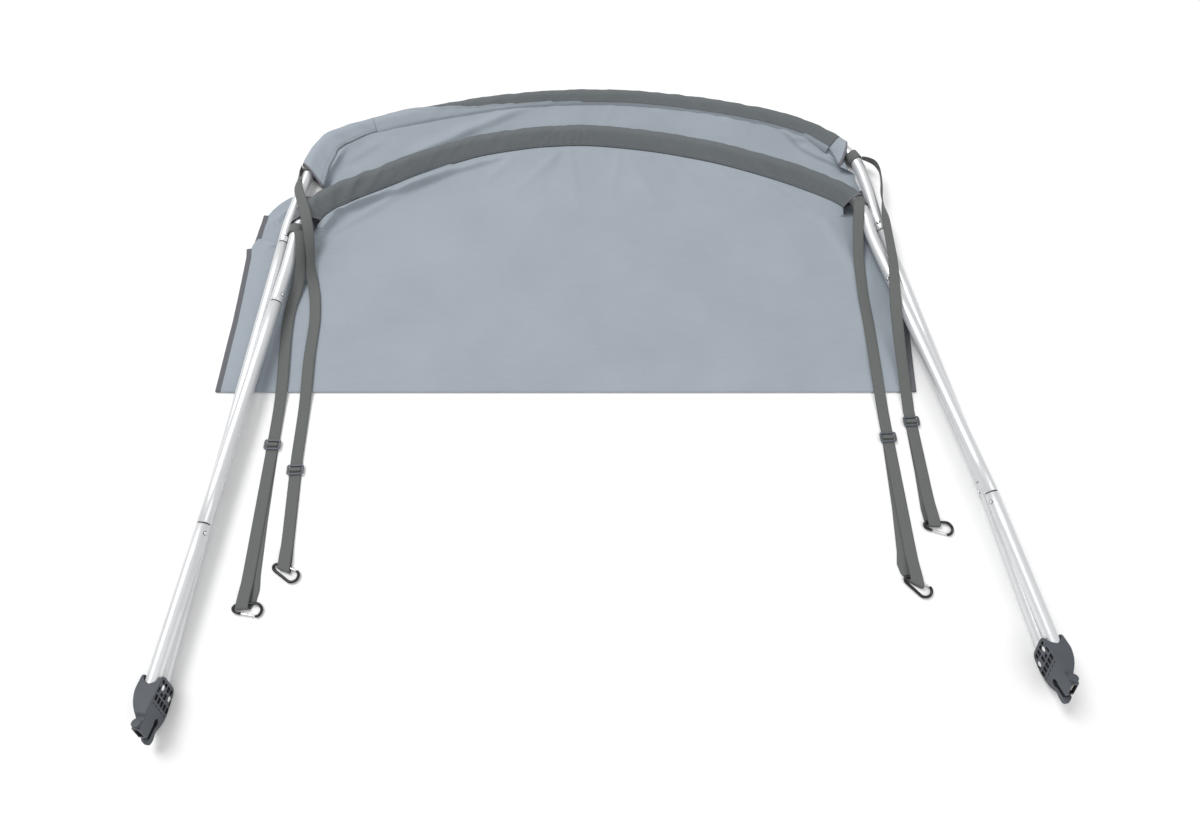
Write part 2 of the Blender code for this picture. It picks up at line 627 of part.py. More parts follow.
def thick_sheet(name, grid, thickness):
    """A closed sheet of the given thickness about a grid of points."""
    rows, columns = len(grid), len(grid[0])
    top, bottom = [], []
    for r in range(rows):
        for c in range(columns):
            normal = Vector((0, 0, 0))
            for r0 in (r - 1, r):
                for c0 in (c - 1, c):
                    if 0 <= r0 < rows - 1 and 0 <= c0 < columns - 1:
                        normal += ((grid[r0 + 1][c0 + 1] - grid[r0][c0])
                                   .cross(grid[r0][c0 + 1] - grid[r0 + 1][c0]))
            normal = normal.normalized() * (thickness / 2)
            top.append(grid[r][c] + normal)
            bottom.append(grid[r][c] - normal)
    offset = rows * columns
    faces = []
    for r in range(rows - 1):
        for c in range(columns - 1):
            a, b = r * columns + c, r * columns + c + 1
            faces += [(a, b, b + columns), (a, b + columns, a + columns)]
            a, b = a + offset, b + offset
            faces += [(a, b + columns, b), (a, a + columns, b + columns)]
    rim = ([c for c in range(columns - 1)] + [r * columns + columns - 1 for r in range(rows - 1)]
           + [(rows - 1) * columns + c for c in range(columns - 1, 0, -1)]
           + [r * columns for r in range(rows - 1, 0, -1)])
    for a, b in zip(rim, rim[1:] + rim[:1]):
        faces.append((a, a + offset, b + offset, b))
    return mesh_of(name, top + bottom, faces)


def make_canopy():
    grid = [[row_point(kind, value, c / COLUMNS) for c in range(COLUMNS + 1)] for kind, value in cloth_rows()]
    new_object("canopy_panel", thick_sheet("canopy_panel", grid, CLOTH), "canopy", 60.0)


def make_binding(side):
    """Tape along one side edge of the canopy, round the fold."""
    edge = 0.0 if side == "left" else 1.0
    rows = [(kind, value) for kind, value in cloth_rows()
            if kind == "turn" or value >= 1.0 + BOUND_FROM[f"{kind}_{side}"] - 0.001]
    inner = [row_point(kind, value, edge) for kind, value in rows]
    grid = []
    for k, (point, (kind, _)) in enumerate(zip(inner, rows)):
        along = inner[min(k + 1, len(inner) - 1)] - inner[max(k - 1, 0)]
        along.z = 0.0
        out = Vector((-1.0 if side == "left" else 1.0, 0.0, 0.0))
        if kind != "turn" and abs(along.y) > 0.001:
            square = Vector((along.y, -along.x, 0.0)).normalized()
            out = square if square.dot(out) > 0 else -square
        grid.append([point + out * (GAP * 1.5), point + out * (GAP + BINDING_WIDTH)])
    name = f"edge_binding_{side}"
    new_object(name, thick_sheet(name, grid, BINDING_THICK), "binding", 60.0)


# ------------------------------------------------------------------ straps

def ribbon(name, rows, finish):
    """A strap of webbing along rows of (centre, way across it, heading)."""
    points, faces = [], [(0, 1, 2, 3)]
    for centre, across, heading in rows:
        rise = across.cross(heading).normalized()
        half_w, half_t = across * (WEB_WIDTH / 2), rise * (WEB_THICK / 2)
        points += [centre - half_w - half_t, centre + half_w - half_t,
                   centre + half_w + half_t, centre - half_w + half_t]
    for r in range(0, len(points) - 4, 4):
        for a, b in ((0, 1), (1, 2), (3, 2), (0, 3)):
            faces += [(r + a, r + b, r + b + 4), (r + a, r + b + 4, r + a + 4)]
    last = len(points) - 4
    faces.append((last, last + 1, last + 2, last + 3))
    return new_object(name, mesh_of(name, points, faces), finish, 50.0)


def rolled_rows(stations, step, turn):
    """Reads stations of (x, y, z, roll) into ribbon rows, at lengths along a smooth path."""
    dense = smooth_path([(r[0] * MM, r[1] * MM, r[2] * MM, r[3]) for r in stations], 10)
    path = Path([p[:3] for p in dense])
    rolls = [(at, p[3]) for at, p in zip(path.at, dense)]
    rows = []
    for s in path.stops(0.0, path.length, step, turn, rolls):
        heading = path.heading(s)
        side = Vector((0, 0, 1)).cross(heading).normalized()
        rise = heading.cross(side).normalized()
        roll = math.radians(read_table(rolls, s)[0])
        rows.append((path.place(s), math.cos(roll) * side + math.sin(roll) * rise, heading))
    return rows


def strap_tail(slider, hook, skew, aside):
    """Rows from the single strap, through the slider, down, round the hook's bar and back up.

    skew is how far the loop leans along the strap for each metre across it, to lie along the bar;
    aside is how far the lower layer comes back to one side."""
    line = hook - slider
    reach = line.length
    line = line.normalized()
    across = Vector((0, 0, 1)).cross(line).normalized()
    over = SLIDER_Z + SLIDER[2] / 2 + GAP + WEB_THICK / 2
    half = SLIDER[1] / 2
    turn_r = (HOOK_Z + HOOK_ROD + GAP + WEB_THICK / 2 - RETURN_Z) / 2
    middle = RETURN_Z + turn_r
    bottom = reach + LOOP_REACH - turn_r
    lift = reach - LOOP_ROOM
    # length along the line, height, share of the skew, share of the way aside
    profile = [(-half - 0.004, DOUBLE_Z, 0, 0), (-half + 0.003, DOUBLE_Z, 0, 0),
               (-half + 0.0052, DOUBLE_Z + 0.0004, 0, 0), (-SLIDER_MID / 2 - 0.0006, over, 0, 0),
               (SLIDER_MID / 2 + 0.0006, over, 0, 0), (half - 0.0052, DOUBLE_Z + 0.0004, 0, 0),
               (half - 0.003, DOUBLE_Z, 0, 0), (half + 0.006, DOUBLE_Z, 0, 0), (reach * 0.45, DOUBLE_Z, 0, 0),
               (lift - 0.045, DOUBLE_Z, 0, 0), (lift - 0.022, DOUBLE_Z + 0.0005, 0.5, 0),
               (lift, middle + turn_r - 0.0008, 1, 0), (lift + 0.010, middle + turn_r, 1, 0),
               (bottom, middle + turn_r, 1, 0)]
    profile += [(bottom + turn_r * math.sin(math.radians(a)), middle + turn_r * math.cos(math.radians(a)), 1,
                 a / 180 * 0.35) for a in (36, 72, 108, 144)]
    profile += [(bottom, RETURN_Z, 1, 0.35), (lift + 0.008, RETURN_Z, 1, 0.8), (lift - 0.010, RETURN_Z, 0.6, 1.0),
                (lift - 0.035, RETURN_Z, 0, 0.75), (reach * 0.5, RETURN_Z, 0, 0.35), (half - 0.004, RETURN_Z, 0, 0)]
    centres = [slider + line * s + Vector((0, 0, z)) + across * (aside * way) for s, z, _, way in profile]
    flat = [slider + line * s + Vector((0, 0, z)) for s, z, _, _ in profile]
    rows = []
    for k, point in enumerate(centres):
        before, after = flat[max(k - 1, 0)], flat[min(k + 1, len(flat) - 1)]
        rows.append((point, across + line * (skew * profile[k][2]), (after - before).normalized()))
    return rows


def hook_skew(name):
    """How far the hook's bar leans along the strap for each metre across it."""
    rows = STRAPS[name]
    line = (Vector((*rows["hook"], 0)) - Vector((*rows["slider"], 0))).normalized()
    across = Vector((0, 0, 1)).cross(line)
    turn = math.radians(HOOKS[name]["turn"])
    bar = Vector((math.cos(turn), math.sin(turn), 0))
    return bar.dot(line) / bar.dot(across)


def make_strap(name):
    rows = STRAPS[name]
    slider = Vector((*rows["slider"], 0)) * MM
    hook = Vector((*rows["hook"], 0)) * MM
    line = (hook - slider).normalized()
    before = slider - line * (SLIDER[1] / 2 + 0.012)
    stations = list(rows["rows"]) + [(before.x / MM, before.y / MM, DOUBLE_Z / MM, 0.0)]
    top = rolled_rows(stations, 0.065, math.radians(21.0))
    tail = strap_tail(slider, hook, hook_skew(name), rows["aside"])
    ribbon(f"strap_{name}", top + tail, "webbing")


def band_place(name):
    """Where the loop of a strap sits on its bow: beside the sleeve's mouth."""
    rows = STRAPS[name]
    path = ARCH[rows["bow"]]
    share, away = rows["band"]
    s = share * path.length + away
    return path.place(s), path.heading(s)


def make_band(name):
    centre, heading = band_place(name)
    ends = (-BAND_WIDTH / 2, BAND_WIDTH / 2)
    outer = [ring(centre + heading * d, heading, BAND_R + BAND_THICK, 12) for d in ends]
    inner = [ring(centre + heading * d, heading, BAND_R, 12) for d in ends]
    label = f"strap_loop_{name}"
    new_object(label, pipe(label, outer, inner), "webbing")


def rounded_rectangle(half_x, half_y, radius, steps=2):
    corners = [(half_x - radius, half_y - radius, 0), (radius - half_x, half_y - radius, 90),
               (radius - half_x, radius - half_y, 180), (half_x - radius, radius - half_y, 270)]
    return [(x + radius * math.cos(math.radians(a + 90 * i / steps)),
             y + radius * math.sin(math.radians(a + 90 * i / steps)))
            for x, y, a in corners for i in range(steps + 1)]


def make_slider(name):
    """Three-bar slider: a rounded frame with a middle bar."""
    rows = STRAPS[name]
    slider = Vector((*rows["slider"], 0)) * MM
    hook = Vector((*rows["hook"], 0)) * MM
    line = (hook - slider).normalized()
    across = Vector((0, 0, 1)).cross(line).normalized()
    place = Matrix((across, line, across.cross(line))).transposed().to_4x4()
    place.translation = slider + Vector((0, 0, SLIDER_Z))
    half = SLIDER[2] / 2
    outline = rounded_rectangle(SLIDER[0] / 2, SLIDER[1] / 2, 0.0042)
    rings = [[place @ Vector((x, y, z)) for x, y in outline] for z in (-half, half)]
    label = f"slider_{name}"
    made = new_object(label, loft(label, rings), "fitting")
    slot_half = (SLIDER[1] / 2 - SLIDER_BAR - SLIDER_MID / 2) / 2
    for sign in (-1, 1):
        middle = sign * (SLIDER_MID / 2 + slot_half)
        hole = rounded_rectangle(SLIDER[0] / 2 - SLIDER_BAR, slot_half, 0.0008, 1)
        cut = [[place @ Vector((x, y + middle, z)) for x, y in hole] for z in (-2 * half, 2 * half)]
        cut_with(made, loft(f"cut_{label}_{sign + 1}", cut))


# ------------------------------------------------------------------ snap hooks

# The rod's centre line, in mm: along the hook from its narrow end, and from the back bar to the gate.
HOOK_SHAPE = [(14.5, 16.1), (9.0, 14.4), (5.4, 12.6), (3.0, 9.8), (2.6, 6.6), (4.6, 3.8), (8.4, 2.3), (23.0, 2.3),
              (37.5, 2.3), (42.4, 3.9), (46.2, 7.8), (47.7, 12.8), (46.4, 17.8), (42.6, 21.9), (38.2, 22.4)]
GATE_LINE = ((15.5, 16.38), (36.6, 22.03))
# How each hook lies: heading of the bar under the strap in degrees from +X, where along the hook the
# strap sits, in mm, and whether the strap hangs on the gate's side.
HOOKS = {
    "left_far": {"turn": -21.0, "lead": 17.0, "on_gate": True},
    "left_near": {"turn": 5.0, "lead": 17.8, "on_gate": False},
    "right_near": {"turn": -31.0, "lead": 17.0, "on_gate": True},
    "right_far": {"turn": -2.5, "lead": 18.0, "on_gate": False},
}


def hook_matrix(name):
    """Hook axes: x along the bar under the strap, y from the hook's inside to the strap's side."""
    spec = HOOKS[name]
    place = Matrix.Translation((Vector((*STRAPS[name]["hook"], 0)) * MM) + Vector((0, 0, HOOK_Z)))
    return place @ Matrix.Rotation(math.radians(spec["turn"]), 4, "Z") @ Matrix.Rotation(HOOK_TILT, 4, "X")


def on_hook(name, point):
    """A point of the hook's shape, on the hook's axes."""
    spec = HOOKS[name]
    along, out = point
    if not spec["on_gate"]:
        return Vector((along - spec["lead"], HOOK_SHAPE[7][1] - out, 0)) * MM
    (x0, y0), (x1, y1) = GATE_LINE
    slope = math.atan2(y1 - y0, x1 - x0)
    here = Vector((spec["lead"], y0 + (spec["lead"] - x0) * math.tan(slope), 0))
    return Matrix.Rotation(-slope, 3, "Z") @ ((Vector((along, out, 0)) - here) * MM)


def make_hook(name):
    place = hook_matrix(name)
    path = [place @ on_hook(name, p) for p in HOOK_SHAPE]
    normal = (place.to_3x3() @ Vector((0, 0, 1))).normalized()
    rings = []
    for k, point in enumerate(path):
        heading = (path[min(k + 1, len(path) - 1)] - path[max(k - 1, 0)]).normalized()
        side = heading.cross(normal).normalized()
        rings.append([point + HOOK_ROD * (math.cos(a) * side + math.sin(a) * normal)
                      for a in (math.radians(60 * i) for i in range(6))])
    label = f"hook_{name}"
    new_object(label, loft(label, rings), "black", 50.0)


def make_gate(name):
    place = hook_matrix(name)
    hinge, tip = (place @ on_hook(name, p) for p in GATE_LINE)
    rings = [ring(p, (tip - hinge).normalized(), GATE_ROD, 6) for p in (hinge, tip)]
    label = f"gate_{name}"
    set_origin(new_object(label, loft(label, rings), "bright", 50.0), hinge)


# ------------------------------------------------------------------ foot brackets

BRACKET_TILT = {"left": math.radians(18.5), "right": math.radians(24.5)}

# Side outline of a bracket: l, c in millimetres from the upper rivet. The top runs to the latch block, then
# come the keyhole notch with its slot, the round finger below the slot, and the back down to the floor.
OUTLINE = [(-13, -12), (42, -12), (50, -8), (65, -8), (66.5, -6.5), (66.5, 21), (65, 22.5)]
NOTCH = {"centre": (42.0, 26.8), "radius": 6.2, "from": -44.0, "to": -323.4}
OUTLINE_BACK = [(64, 30.5), (68, 31.6), (70.4, 34.4), (70.4, 37.8), (67.6, 41.2), (63, 42.8), (58, 42.4),
                (50, 39.8), (43, 43.8), (30, 48.0)]
FLOOR_EDGE = (15.0, 2.0, -7.0)      # l of the corners of the edge that lies on the floor
OUTLINE_END = [(-12, 33), (-14, -7)]

# How far out a bracket stands along its length, l and t in millimetres: it narrows to the block, and the end of
# the finger is round.
TAPER = [(10, 15.5), (26, 10.3), (38, 4.0), (48, -3.0), (52, -4.5), (66.8, -4.5), (69.2, -8.5), (70.6, -13.5),
         (120, -13.5)]


def bracket_axes(side):
    """l, c and t of a bracket in the world: l rises towards the foot, c points down, t outward."""
    rows = BOWS["near"]
    along = scaled(rows[f"foot_{side}"]) - scaled(rows[f"low_{side}"])
    along.z = 0.0
    along.normalize()
    up = Vector((0, 0, 1))
    tilt = BRACKET_TILT[side]
    long_axis = math.cos(tilt) * along + math.sin(tilt) * up
    cross_axis = math.sin(tilt) * along - math.cos(tilt) * up
    outward = Vector((-along.y, along.x, 0.0))
    if (outward.x < 0) != (side == "left"):
        outward = -outward
    return long_axis, cross_axis, outward


def bracket_matrix(side):
    long_axis, cross_axis, outward = bracket_axes(side)
    place = Matrix((long_axis, cross_axis, outward)).transposed().to_4x4()
    place.translation = scaled(BOWS["near"][f"foot_{side}"])
    return place


def block(label, place, low, high):
    corners = [(low[0], low[1]), (high[0], low[1]), (high[0], high[1]), (low[0], high[1])]
    rings = [[place @ Vector((x, y, z)) for x, y in corners] for z in (low[2], high[2])]
    return loft(label, rings)


def bracket_outline(side):
    centre, radius = NOTCH["centre"], NOTCH["radius"]
    arc = [(centre[0] + radius * math.cos(math.radians(a)), centre[1] + radius * math.sin(math.radians(a)))
           for a in (NOTCH["from"] + (NOTCH["to"] - NOTCH["from"]) * i / 9 for i in range(10))]
    tilt, height = BRACKET_TILT[side], BOWS["near"][f"foot_{side}"][2] - 0.35
    floor = [(l, min(49.8, (height + l * math.sin(tilt)) / math.cos(tilt))) for l in FLOOR_EDGE]
    return [(l * MM, c * MM) for l, c in OUTLINE + arc + OUTLINE_BACK + floor + OUTLINE_END]


def make_bracket(side):
    place = bracket_matrix(side)
    rings = [[place @ Vector((l, c, t)) for l, c in bracket_outline(side)] for t in (PLATE_IN, PLATE_OUT)]
    label = f"foot_bracket_{side}"
    made = new_object(label, loft(label, rings), "fitting")

    taper = [(l * MM, t * MM) for l, t in TAPER] + [(0.12, PLATE_OUT + 0.01), (TAPER[0][0] * MM, PLATE_OUT + 0.01)]
    cut_with(made, loft(f"cut_{label}_taper", [[place @ Vector((l, c, t)) for l, t in taper] for c in (-0.03, 0.06)]))

    low, high = PLATE_IN + WALL, PLATE_OUT - WALL
    cavity = [(-0.03, low), (0.024, low), (0.024, high - 0.0047), (0.010, high - 0.0002), (-0.03, high)]
    cut_with(made, loft(f"cut_{label}_cavity", [[place @ Vector((l, c, t)) for l, t in cavity]
                                                for c in (-0.009, 0.0452)]))
    low, high = low + 0.0002, high - 0.0002
    mouth = [(-0.031, low), (-0.0072, low), (0.0006, low + 0.008), (0.0006, high - 0.008), (-0.0072, high),
             (-0.031, high)]
    for number, (c_from, c_to, deeper) in enumerate(((-0.02, -0.008, 0.0), (0.040, 0.06, 0.014))):
        cut_with(made, loft(f"cut_{label}_mouth_{number}",
                            [[place @ Vector((l + deeper * (l > -0.02), c, t)) for l, t in mouth]
                             for c in (c_from, c_to)]))
    foot, up = scaled(BOWS["near"][f"foot_{side}"]), scaled(BOWS["near"][f"low_{side}"])
    up = (up - foot).normalized()
    cut_with(made, loft(f"cut_{label}_tube", [ring(foot + up * d, up, 0.0115, 16) for d in (-0.0094, 0.060)]))
    cut_with(made, block(f"cut_{label}_catch", place, (0.0570, -0.0045, -0.0150), (0.0688, 0.0180, -0.0068)))
    for bow in BOWS:
        drill(made, rivet_centre(side, bow), bracket_axes(side)[2], RIVET_HOLE_R, -0.03, 0.03)
    cut_pockets(made, place)


def rivet_centre(side, bow):
    """A rivet's middle: on the bow's pivot, midway between the plates."""
    place = bracket_matrix(side)
    local = place.inverted() @ scaled(BOWS[bow][f"foot_{side}"])
    return place @ Vector((local.x, local.y, 0))


# Pockets of the inner plate: from l, from c, and their sizes, in millimetres. They keep clear of the rivets.
POCKETS = [(-9.5 + 11.1 * row, -9.4 + 11.4 * column, 8.3, 8.3 + 0.2 * row) for row, column in
           ((0, 2), (1, 2), (2, 0), (2, 1), (2, 2), (2, 3), (2, 4))]
POCKETS += [(-9.5, -9.0, 4.8, 7.9), (-9.5, 1.9, 4.8, 8.4), (-9.5, 24.7, 6.6, 8.0), (1.6, -9.5, 8.4, 4.6),
            (5.4, 1.9, 4.6, 8.4), (1.6, 38.2, 8.4, 3.0)]


def cut_pockets(made, place):
    """The grid of shallow pockets that lightens the inner plate."""
    for index, (low_l, low_c, size_l, size_c) in enumerate(POCKETS):
        cut_with(made, block(f"cut_{made.name}_pocket_{index}", place,
                             (low_l * MM, low_c * MM, PLATE_IN - 0.004),
                             ((low_l + size_l) * MM, (low_c + size_c) * MM, PLATE_IN + POCKET_DEPTH)))


def make_rivet(side, bow):
    centre = rivet_centre(side, bow)
    axis = bracket_axes(side)[2]
    low, high = PLATE_IN - GAP, PLATE_OUT + GAP
    profile = [(low - RIVET_HEAD, RIVET_HEAD_R * 0.6), (low - 0.0004, RIVET_HEAD_R), (low, RIVET_HEAD_R),
               (low, RIVET_R), (high, RIVET_R), (high, RIVET_HEAD_R), (high + 0.0004, RIVET_HEAD_R),
               (high + RIVET_HEAD, RIVET_HEAD_R * 0.6)]
    rings = [ring(centre + axis * d, axis, r, 8) for d, r in profile]
    label = f"rivet_{bow}_{side}"
    new_object(label, loft(label, rings), "bright")


def make_latch_knob(side):
    """Round knob that stands on the latch block at the foot."""
    place = bracket_matrix(side)
    long_axis, cross_axis, outward = bracket_axes(side)
    seat = place @ Vector((0.0598, -0.0080 - GAP, -0.0116))
    rings = [ring(seat - cross_axis * d, cross_axis, r, 12)
             for d, r in ((0.0, 0.0067), (0.0058, 0.0067), (0.0068, 0.0056))]
    label = f"latch_knob_{side}"
    new_object(label, loft(label, rings), "fitting")


def make_catch(side):
    """Small metal tongue in the recess of the latch block."""
    label = f"catch_{side}"
    mesh = block(label, bracket_matrix(side), (0.0573, -0.0036, -0.0144), (0.0637, 0.0140, -0.0092))
    new_object(label, mesh, "bright")


def main():
    for old in list(bpy.data.objects):
        bpy.data.objects.remove(old, do_unlink=True)
    for bow in BOWS:
        make_arch(bow)
        for side in ("left", "right"):
            make_mid(bow, side)
            make_lower(bow, side)
            make_rivet(side, bow)
            for level in ("low", "top"):
                make_button(bow, side, level)
    for name in SLEEVES:
        make_sleeve(name)
    make_canopy()
    for side in ("left", "right"):
        make_binding(side)
        make_bracket(side)
        make_latch_knob(side)
        make_catch(side)
    for name in STRAPS:
        make_band(name)
        make_strap(name)
        make_slider(name)
        make_hook(name)
        make_gate(name)
    for made in bpy.context.scene.objects:
        made.location -= ORIGIN


main()
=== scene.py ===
"""Dresses the folded bimini top: cloth, sleeves, tubes, straps, hooks and brackets, and its stage.

Frame: metres, +X to the right, +Y from the feet towards the arches, +Z up, lying on Z = 0.
The tables are in millimetres, unless they say metres; put() sets each piece on the frame's origin.
"""
import math

import bmesh
import bpy
from bpy.props import FloatProperty, FloatVectorProperty, IntProperty, PointerProperty
from bpy.types import Operator, Panel, PropertyGroup
from mathutils import Matrix, Vector, noise


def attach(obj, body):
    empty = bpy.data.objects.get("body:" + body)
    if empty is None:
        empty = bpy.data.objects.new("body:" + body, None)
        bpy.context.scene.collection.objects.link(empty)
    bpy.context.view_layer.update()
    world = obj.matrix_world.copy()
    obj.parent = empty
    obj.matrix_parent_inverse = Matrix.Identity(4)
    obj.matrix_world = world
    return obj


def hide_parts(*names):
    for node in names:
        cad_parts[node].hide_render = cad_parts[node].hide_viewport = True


bl_info = {
    "name": "Bimini Top Dresser",
    "version": (1, 0, 0),
    "blender": (4, 5, 0),
    "location": "View3D > Sidebar > Bimini",
    "description": "Builds the cloth, webbing, tubes and fittings of a folded bimini top",
    "category": "Add Mesh",
}

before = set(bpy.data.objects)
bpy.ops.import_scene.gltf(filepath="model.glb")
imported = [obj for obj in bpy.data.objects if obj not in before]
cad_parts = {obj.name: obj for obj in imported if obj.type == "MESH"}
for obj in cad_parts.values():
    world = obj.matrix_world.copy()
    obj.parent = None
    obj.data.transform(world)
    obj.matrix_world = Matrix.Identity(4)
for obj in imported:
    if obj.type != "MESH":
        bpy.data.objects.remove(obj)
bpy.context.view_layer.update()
ROOT = "frame_and_cover"
MM = 0.001
# The frame's origin in the tables' axes, in mm.
ORIGIN = Vector((0.01, 7.55, 0.09))
UP = Vector((0, 0, 1))

SIDES = ("left", "right")

# ------------------------------------------------------------------ the set's own sizes, in metres

TUBE_R = 0.0110
EDGE_BREAK, EDGE_CLEAR = 0.0009, 0.004
JOINT_HALF, FOOT_END = 0.0006, 0.0088
# Ring inside each joint's groove, coloured near black as painted shade of the groove.
SHADE_RING_HALF, SHADE_RING_R = 0.0022, 0.0098
ARCH_STEP, STRAIGHT_STEP = 0.012, 0.08
BUTTON_FROM_JOINT = 0.016
STRAIGHT_END = 0.045
SLEEVE_R = 0.0136
SEAM_HALF = 0.0014
SEAM_LAP = 0.0004
SLEEVE_WALL, CANOPY_WALL = 0.0009, 0.0010
SLEEVE_LOWEST, TAPE_LOWEST = 0.0014, 0.0013
HEM_ROWS = (0.0012, 0.0036, 0.0042)
CLOTH_REST = 0.0009
CLOTH_TOP = 0.0033
TAPE_GRIP, TAPE_THICK = 0.0012, 0.0021
WEB_WIDTH, WEB_THICK = 0.0200, 0.0013
BAND_R, BAND_THICK = 0.0123, 0.0014
WEB_CLEAR = 0.0003
TACK_PITCH, TACK_THREAD, TACK_HALF = 0.0022, 0.0003, 0.007
TACK_ROWS = (-0.0005, 0.0125)
STRAP_STEP = 0.005
SLIDER_LONG, SLIDER_WIDE, SLIDER_THICK = 0.0285, 0.0185, 0.0026
SLIDER_BAR, SLIDER_MID, SLIDER_Z = 0.0032, 0.0030, 0.0048
SLIDER_CORNER, SLOT_CORNER, SLIDER_EDGE = 0.0046, 0.0009, 0.0006
RETURN_Z, DOUBLE_Z = 0.0009, 0.0026
HOOK_ROD, GATE_ROD, HOOK_Z = 0.0023, 0.0019, 0.0046
HOOK_TILT = math.radians(5.0)
RIPPLE_PITCH = 0.0034
LOOP_REACH, LOOP_ROOM = 0.0082, 0.0135

# Bows: x, y, z of the tube's axis in mm, from the left foot over the arch to the right foot.
BOWS = {
    "far": {
        "foot_left": (-674.0, -566.0, 11.6), "low_left": (-649.0, -222.0, 15.5),
        "top_left": (-613.0, 257.0, 18.5),
        "arch": [(-598.5, 372, 18), (-591.5, 416, 17.5), (-583.0, 463, 16.5),
                 (-562.0, 508, 15.5), (-516.0, 540, 14.5), (-469.0, 560, 14.2), (-368.0, 589, 14),
                 (-259.0, 614, 14), (-177.0, 627, 14), (-87.0, 635, 14), (28.0, 635, 14),
                 (112.0, 627, 14), (202.0, 613, 14), (317.0, 586, 14), (398.0, 555, 14.5),
                 (449.0, 523, 15), (484.0, 487, 15.8), (503.0, 450, 16.8), (513.0, 394, 17.5)],
        "top_right": (528.0, 286.0, 18.5), "low_right": (625.0, -222.0, 15.5),
        "foot_right": (672.0, -514.0, 11.6),
    },
    "near": {
        "foot_left": (-673.5, -553.5, 39.6), "low_left": (-646.0, -303.0, 37.8),
        "top_left": (-600.5, 117.0, 32.0),
        "arch": [(-592.5, 195, 30), (-589.0, 248, 29), (-586.0, 290, 28), (-566.0, 342, 26),
                 (-520.0, 382, 23.5), (-450.0, 421, 22), (-379.0, 459, 21), (-305.0, 489, 20.5),
                 (-251.0, 507, 20.5), (-172.0, 523, 20.5), (-113.0, 530, 20.5), (-29.0, 532, 20.5),
                 (82.0, 519, 20.5), (165.0, 502, 20.5), (249.0, 479, 20.5), (358.0, 437, 21),
                 (435.0, 397, 22.5), (478.0, 364, 24), (496.0, 326, 25.5), (503.0, 272, 27),
                 (512.0, 228, 28.5)],
        "top_right": (530.0, 154.0, 30.0), "low_right": (624.5, -250.0, 37.8),
        "foot_right": (671.5, -496.0, 39.6),
    },
}
# How far each snap button is turned up from level, towards the set's inside.
BUTTON_UP = {
    ("far", "top"): math.radians(62.0), ("far", "low"): math.radians(-20.0),
    ("near", "top"): math.radians(25.0), ("near", "low"): math.radians(25.0),
}
# Turned from the tube's axis out: distance along the axis and radius, in metres.
BUTTON_DOME = [(0.0062, 0.0032), (0.0117, 0.0032), (0.0125, 0.0030), (0.0131, 0.0023), (0.0134, 0.0012),
               (0.0135, 0.0)]
# Ring round each button, coloured near black as painted shade in its hole.
BUTTON_HOLE_SHADE = [(0.0098, 0.0038), (0.01105, 0.0038), (0.01115, 0.0036), (0.01105, 0.0034), (0.0098, 0.0033)]

# Sleeves: span as shares of the arch, lean of each mouth, which mouths are hemmed, and rows of share, inward
# reach of the sewn edge, its height over the tube's axis, slack all round and bulge on the outer side, in mm.
SLEEVES = {
    "cuff_left": {
        "bow": "far", "span": (0.1112, 0.2293), "mouth": (-0.85, 0.0), "hems": (True, False),
        "cloth": "canopy",
        "rows": [(0.0, 38, -3, 2.9, 0.0), (0.26, 36, 0, 2.8, 0.5), (0.5, 30, 2, 0.4, 4.0),
                 (0.62, 27, 2, 0, 5.0), (1.0, 22, 2, 0, 0.5)]},
    "sleeve_far": {
        "bow": "far", "span": (0.2295, 0.8500), "mouth": (0.0, 0.0), "hems": (False, False),
        "cloth": "sleeve",
        "rows": [(0.0, 22, 2, 0, 0.5), (0.1, 21, 2, 0, 0), (0.5, 21, 2, 0, 0), (0.92, 22, 2, 0, 0),
                 (1.0, 25, 1, 0, 0)]},
    "cuff_right": {
        "bow": "far", "span": (0.8502, 0.8670), "mouth": (0.0, 0.9), "hems": (False, True),
        "cloth": "canopy",
        "rows": [(0.0, 25, 1, 0, 0), (1.0, 36, -1, 0.8, 0)]},
    "sleeve_near": {
        "bow": "near", "span": (0.1170, 0.8680), "mouth": (0.8, -0.15), "hems": (True, True),
        "cloth": "sleeve",
        "rows": [(0.0, 30, -6, 0.8, 0), (0.1, 31, -8, 0, 0), (0.5, 30, -7, 0, 0), (0.9, 29, -8, 0, 0),
                 (1.0, 27, -7, 0.4, 0)]},
}
# How far from a mouth its lean fades out, in metres.
MOUTH_FADE = 0.060
# Heights of the sleeves' wrinkles, in metres.
RUMPLE, GATHER, STREAK, PULL, CREASE = 0.0008, 0.00045, 0.0013, 0.0006, 0.0022
SLEEVE_ORDER = {"far": ("cuff_left", "sleeve_far", "cuff_right"), "near": ("sleeve_near",)}

# Canopy, in mm: each layer runs from its seam to a level line, at these y at left and right, then on to the
# fold at y = -50.
FOLD_LEFT, FOLD_RIGHT = (-682.0, -50.0, 0.0), (537.0, -50.0, 0.0)
LEVEL = {"lower": (380.0, 420.0), "upper": (296.0, 334.0)}
# Side edges of each layer, as rows of share from the seam to the fold, x and y.
EDGES = {
    "lower_left": [(0.04, -590, 384), (0.075, -618, 386), (0.12, -642, 367), (0.17, -661, 341),
                   (0.22, -663, 312), (0.3, -668, 274), (0.67, -675, 97), (1.0, -682, -50)],
    "upper_left": [(0.05, -600, 281), (0.10, -624, 266), (0.14, -640, 269), (0.175, -658, 280),
                   (0.205, -673, 279), (0.24, -680, 259), (0.3, -677, 238), (0.6, -677, 97),
                   (1.0, -682, -50)],
    "lower_right": [(0.06, 497, 402), (0.12, 513, 375), (0.2, 529, 340), (0.3, 542, 300), (0.45, 547, 235),
                    (0.7, 547, 121), (1.0, 537, -50)],
    "upper_right": [(0.05, 487, 334), (0.12, 503, 311), (0.22, 523, 283), (0.35, 539, 240), (0.6, 545, 121),
                    (1.0, 537, -50)],
}
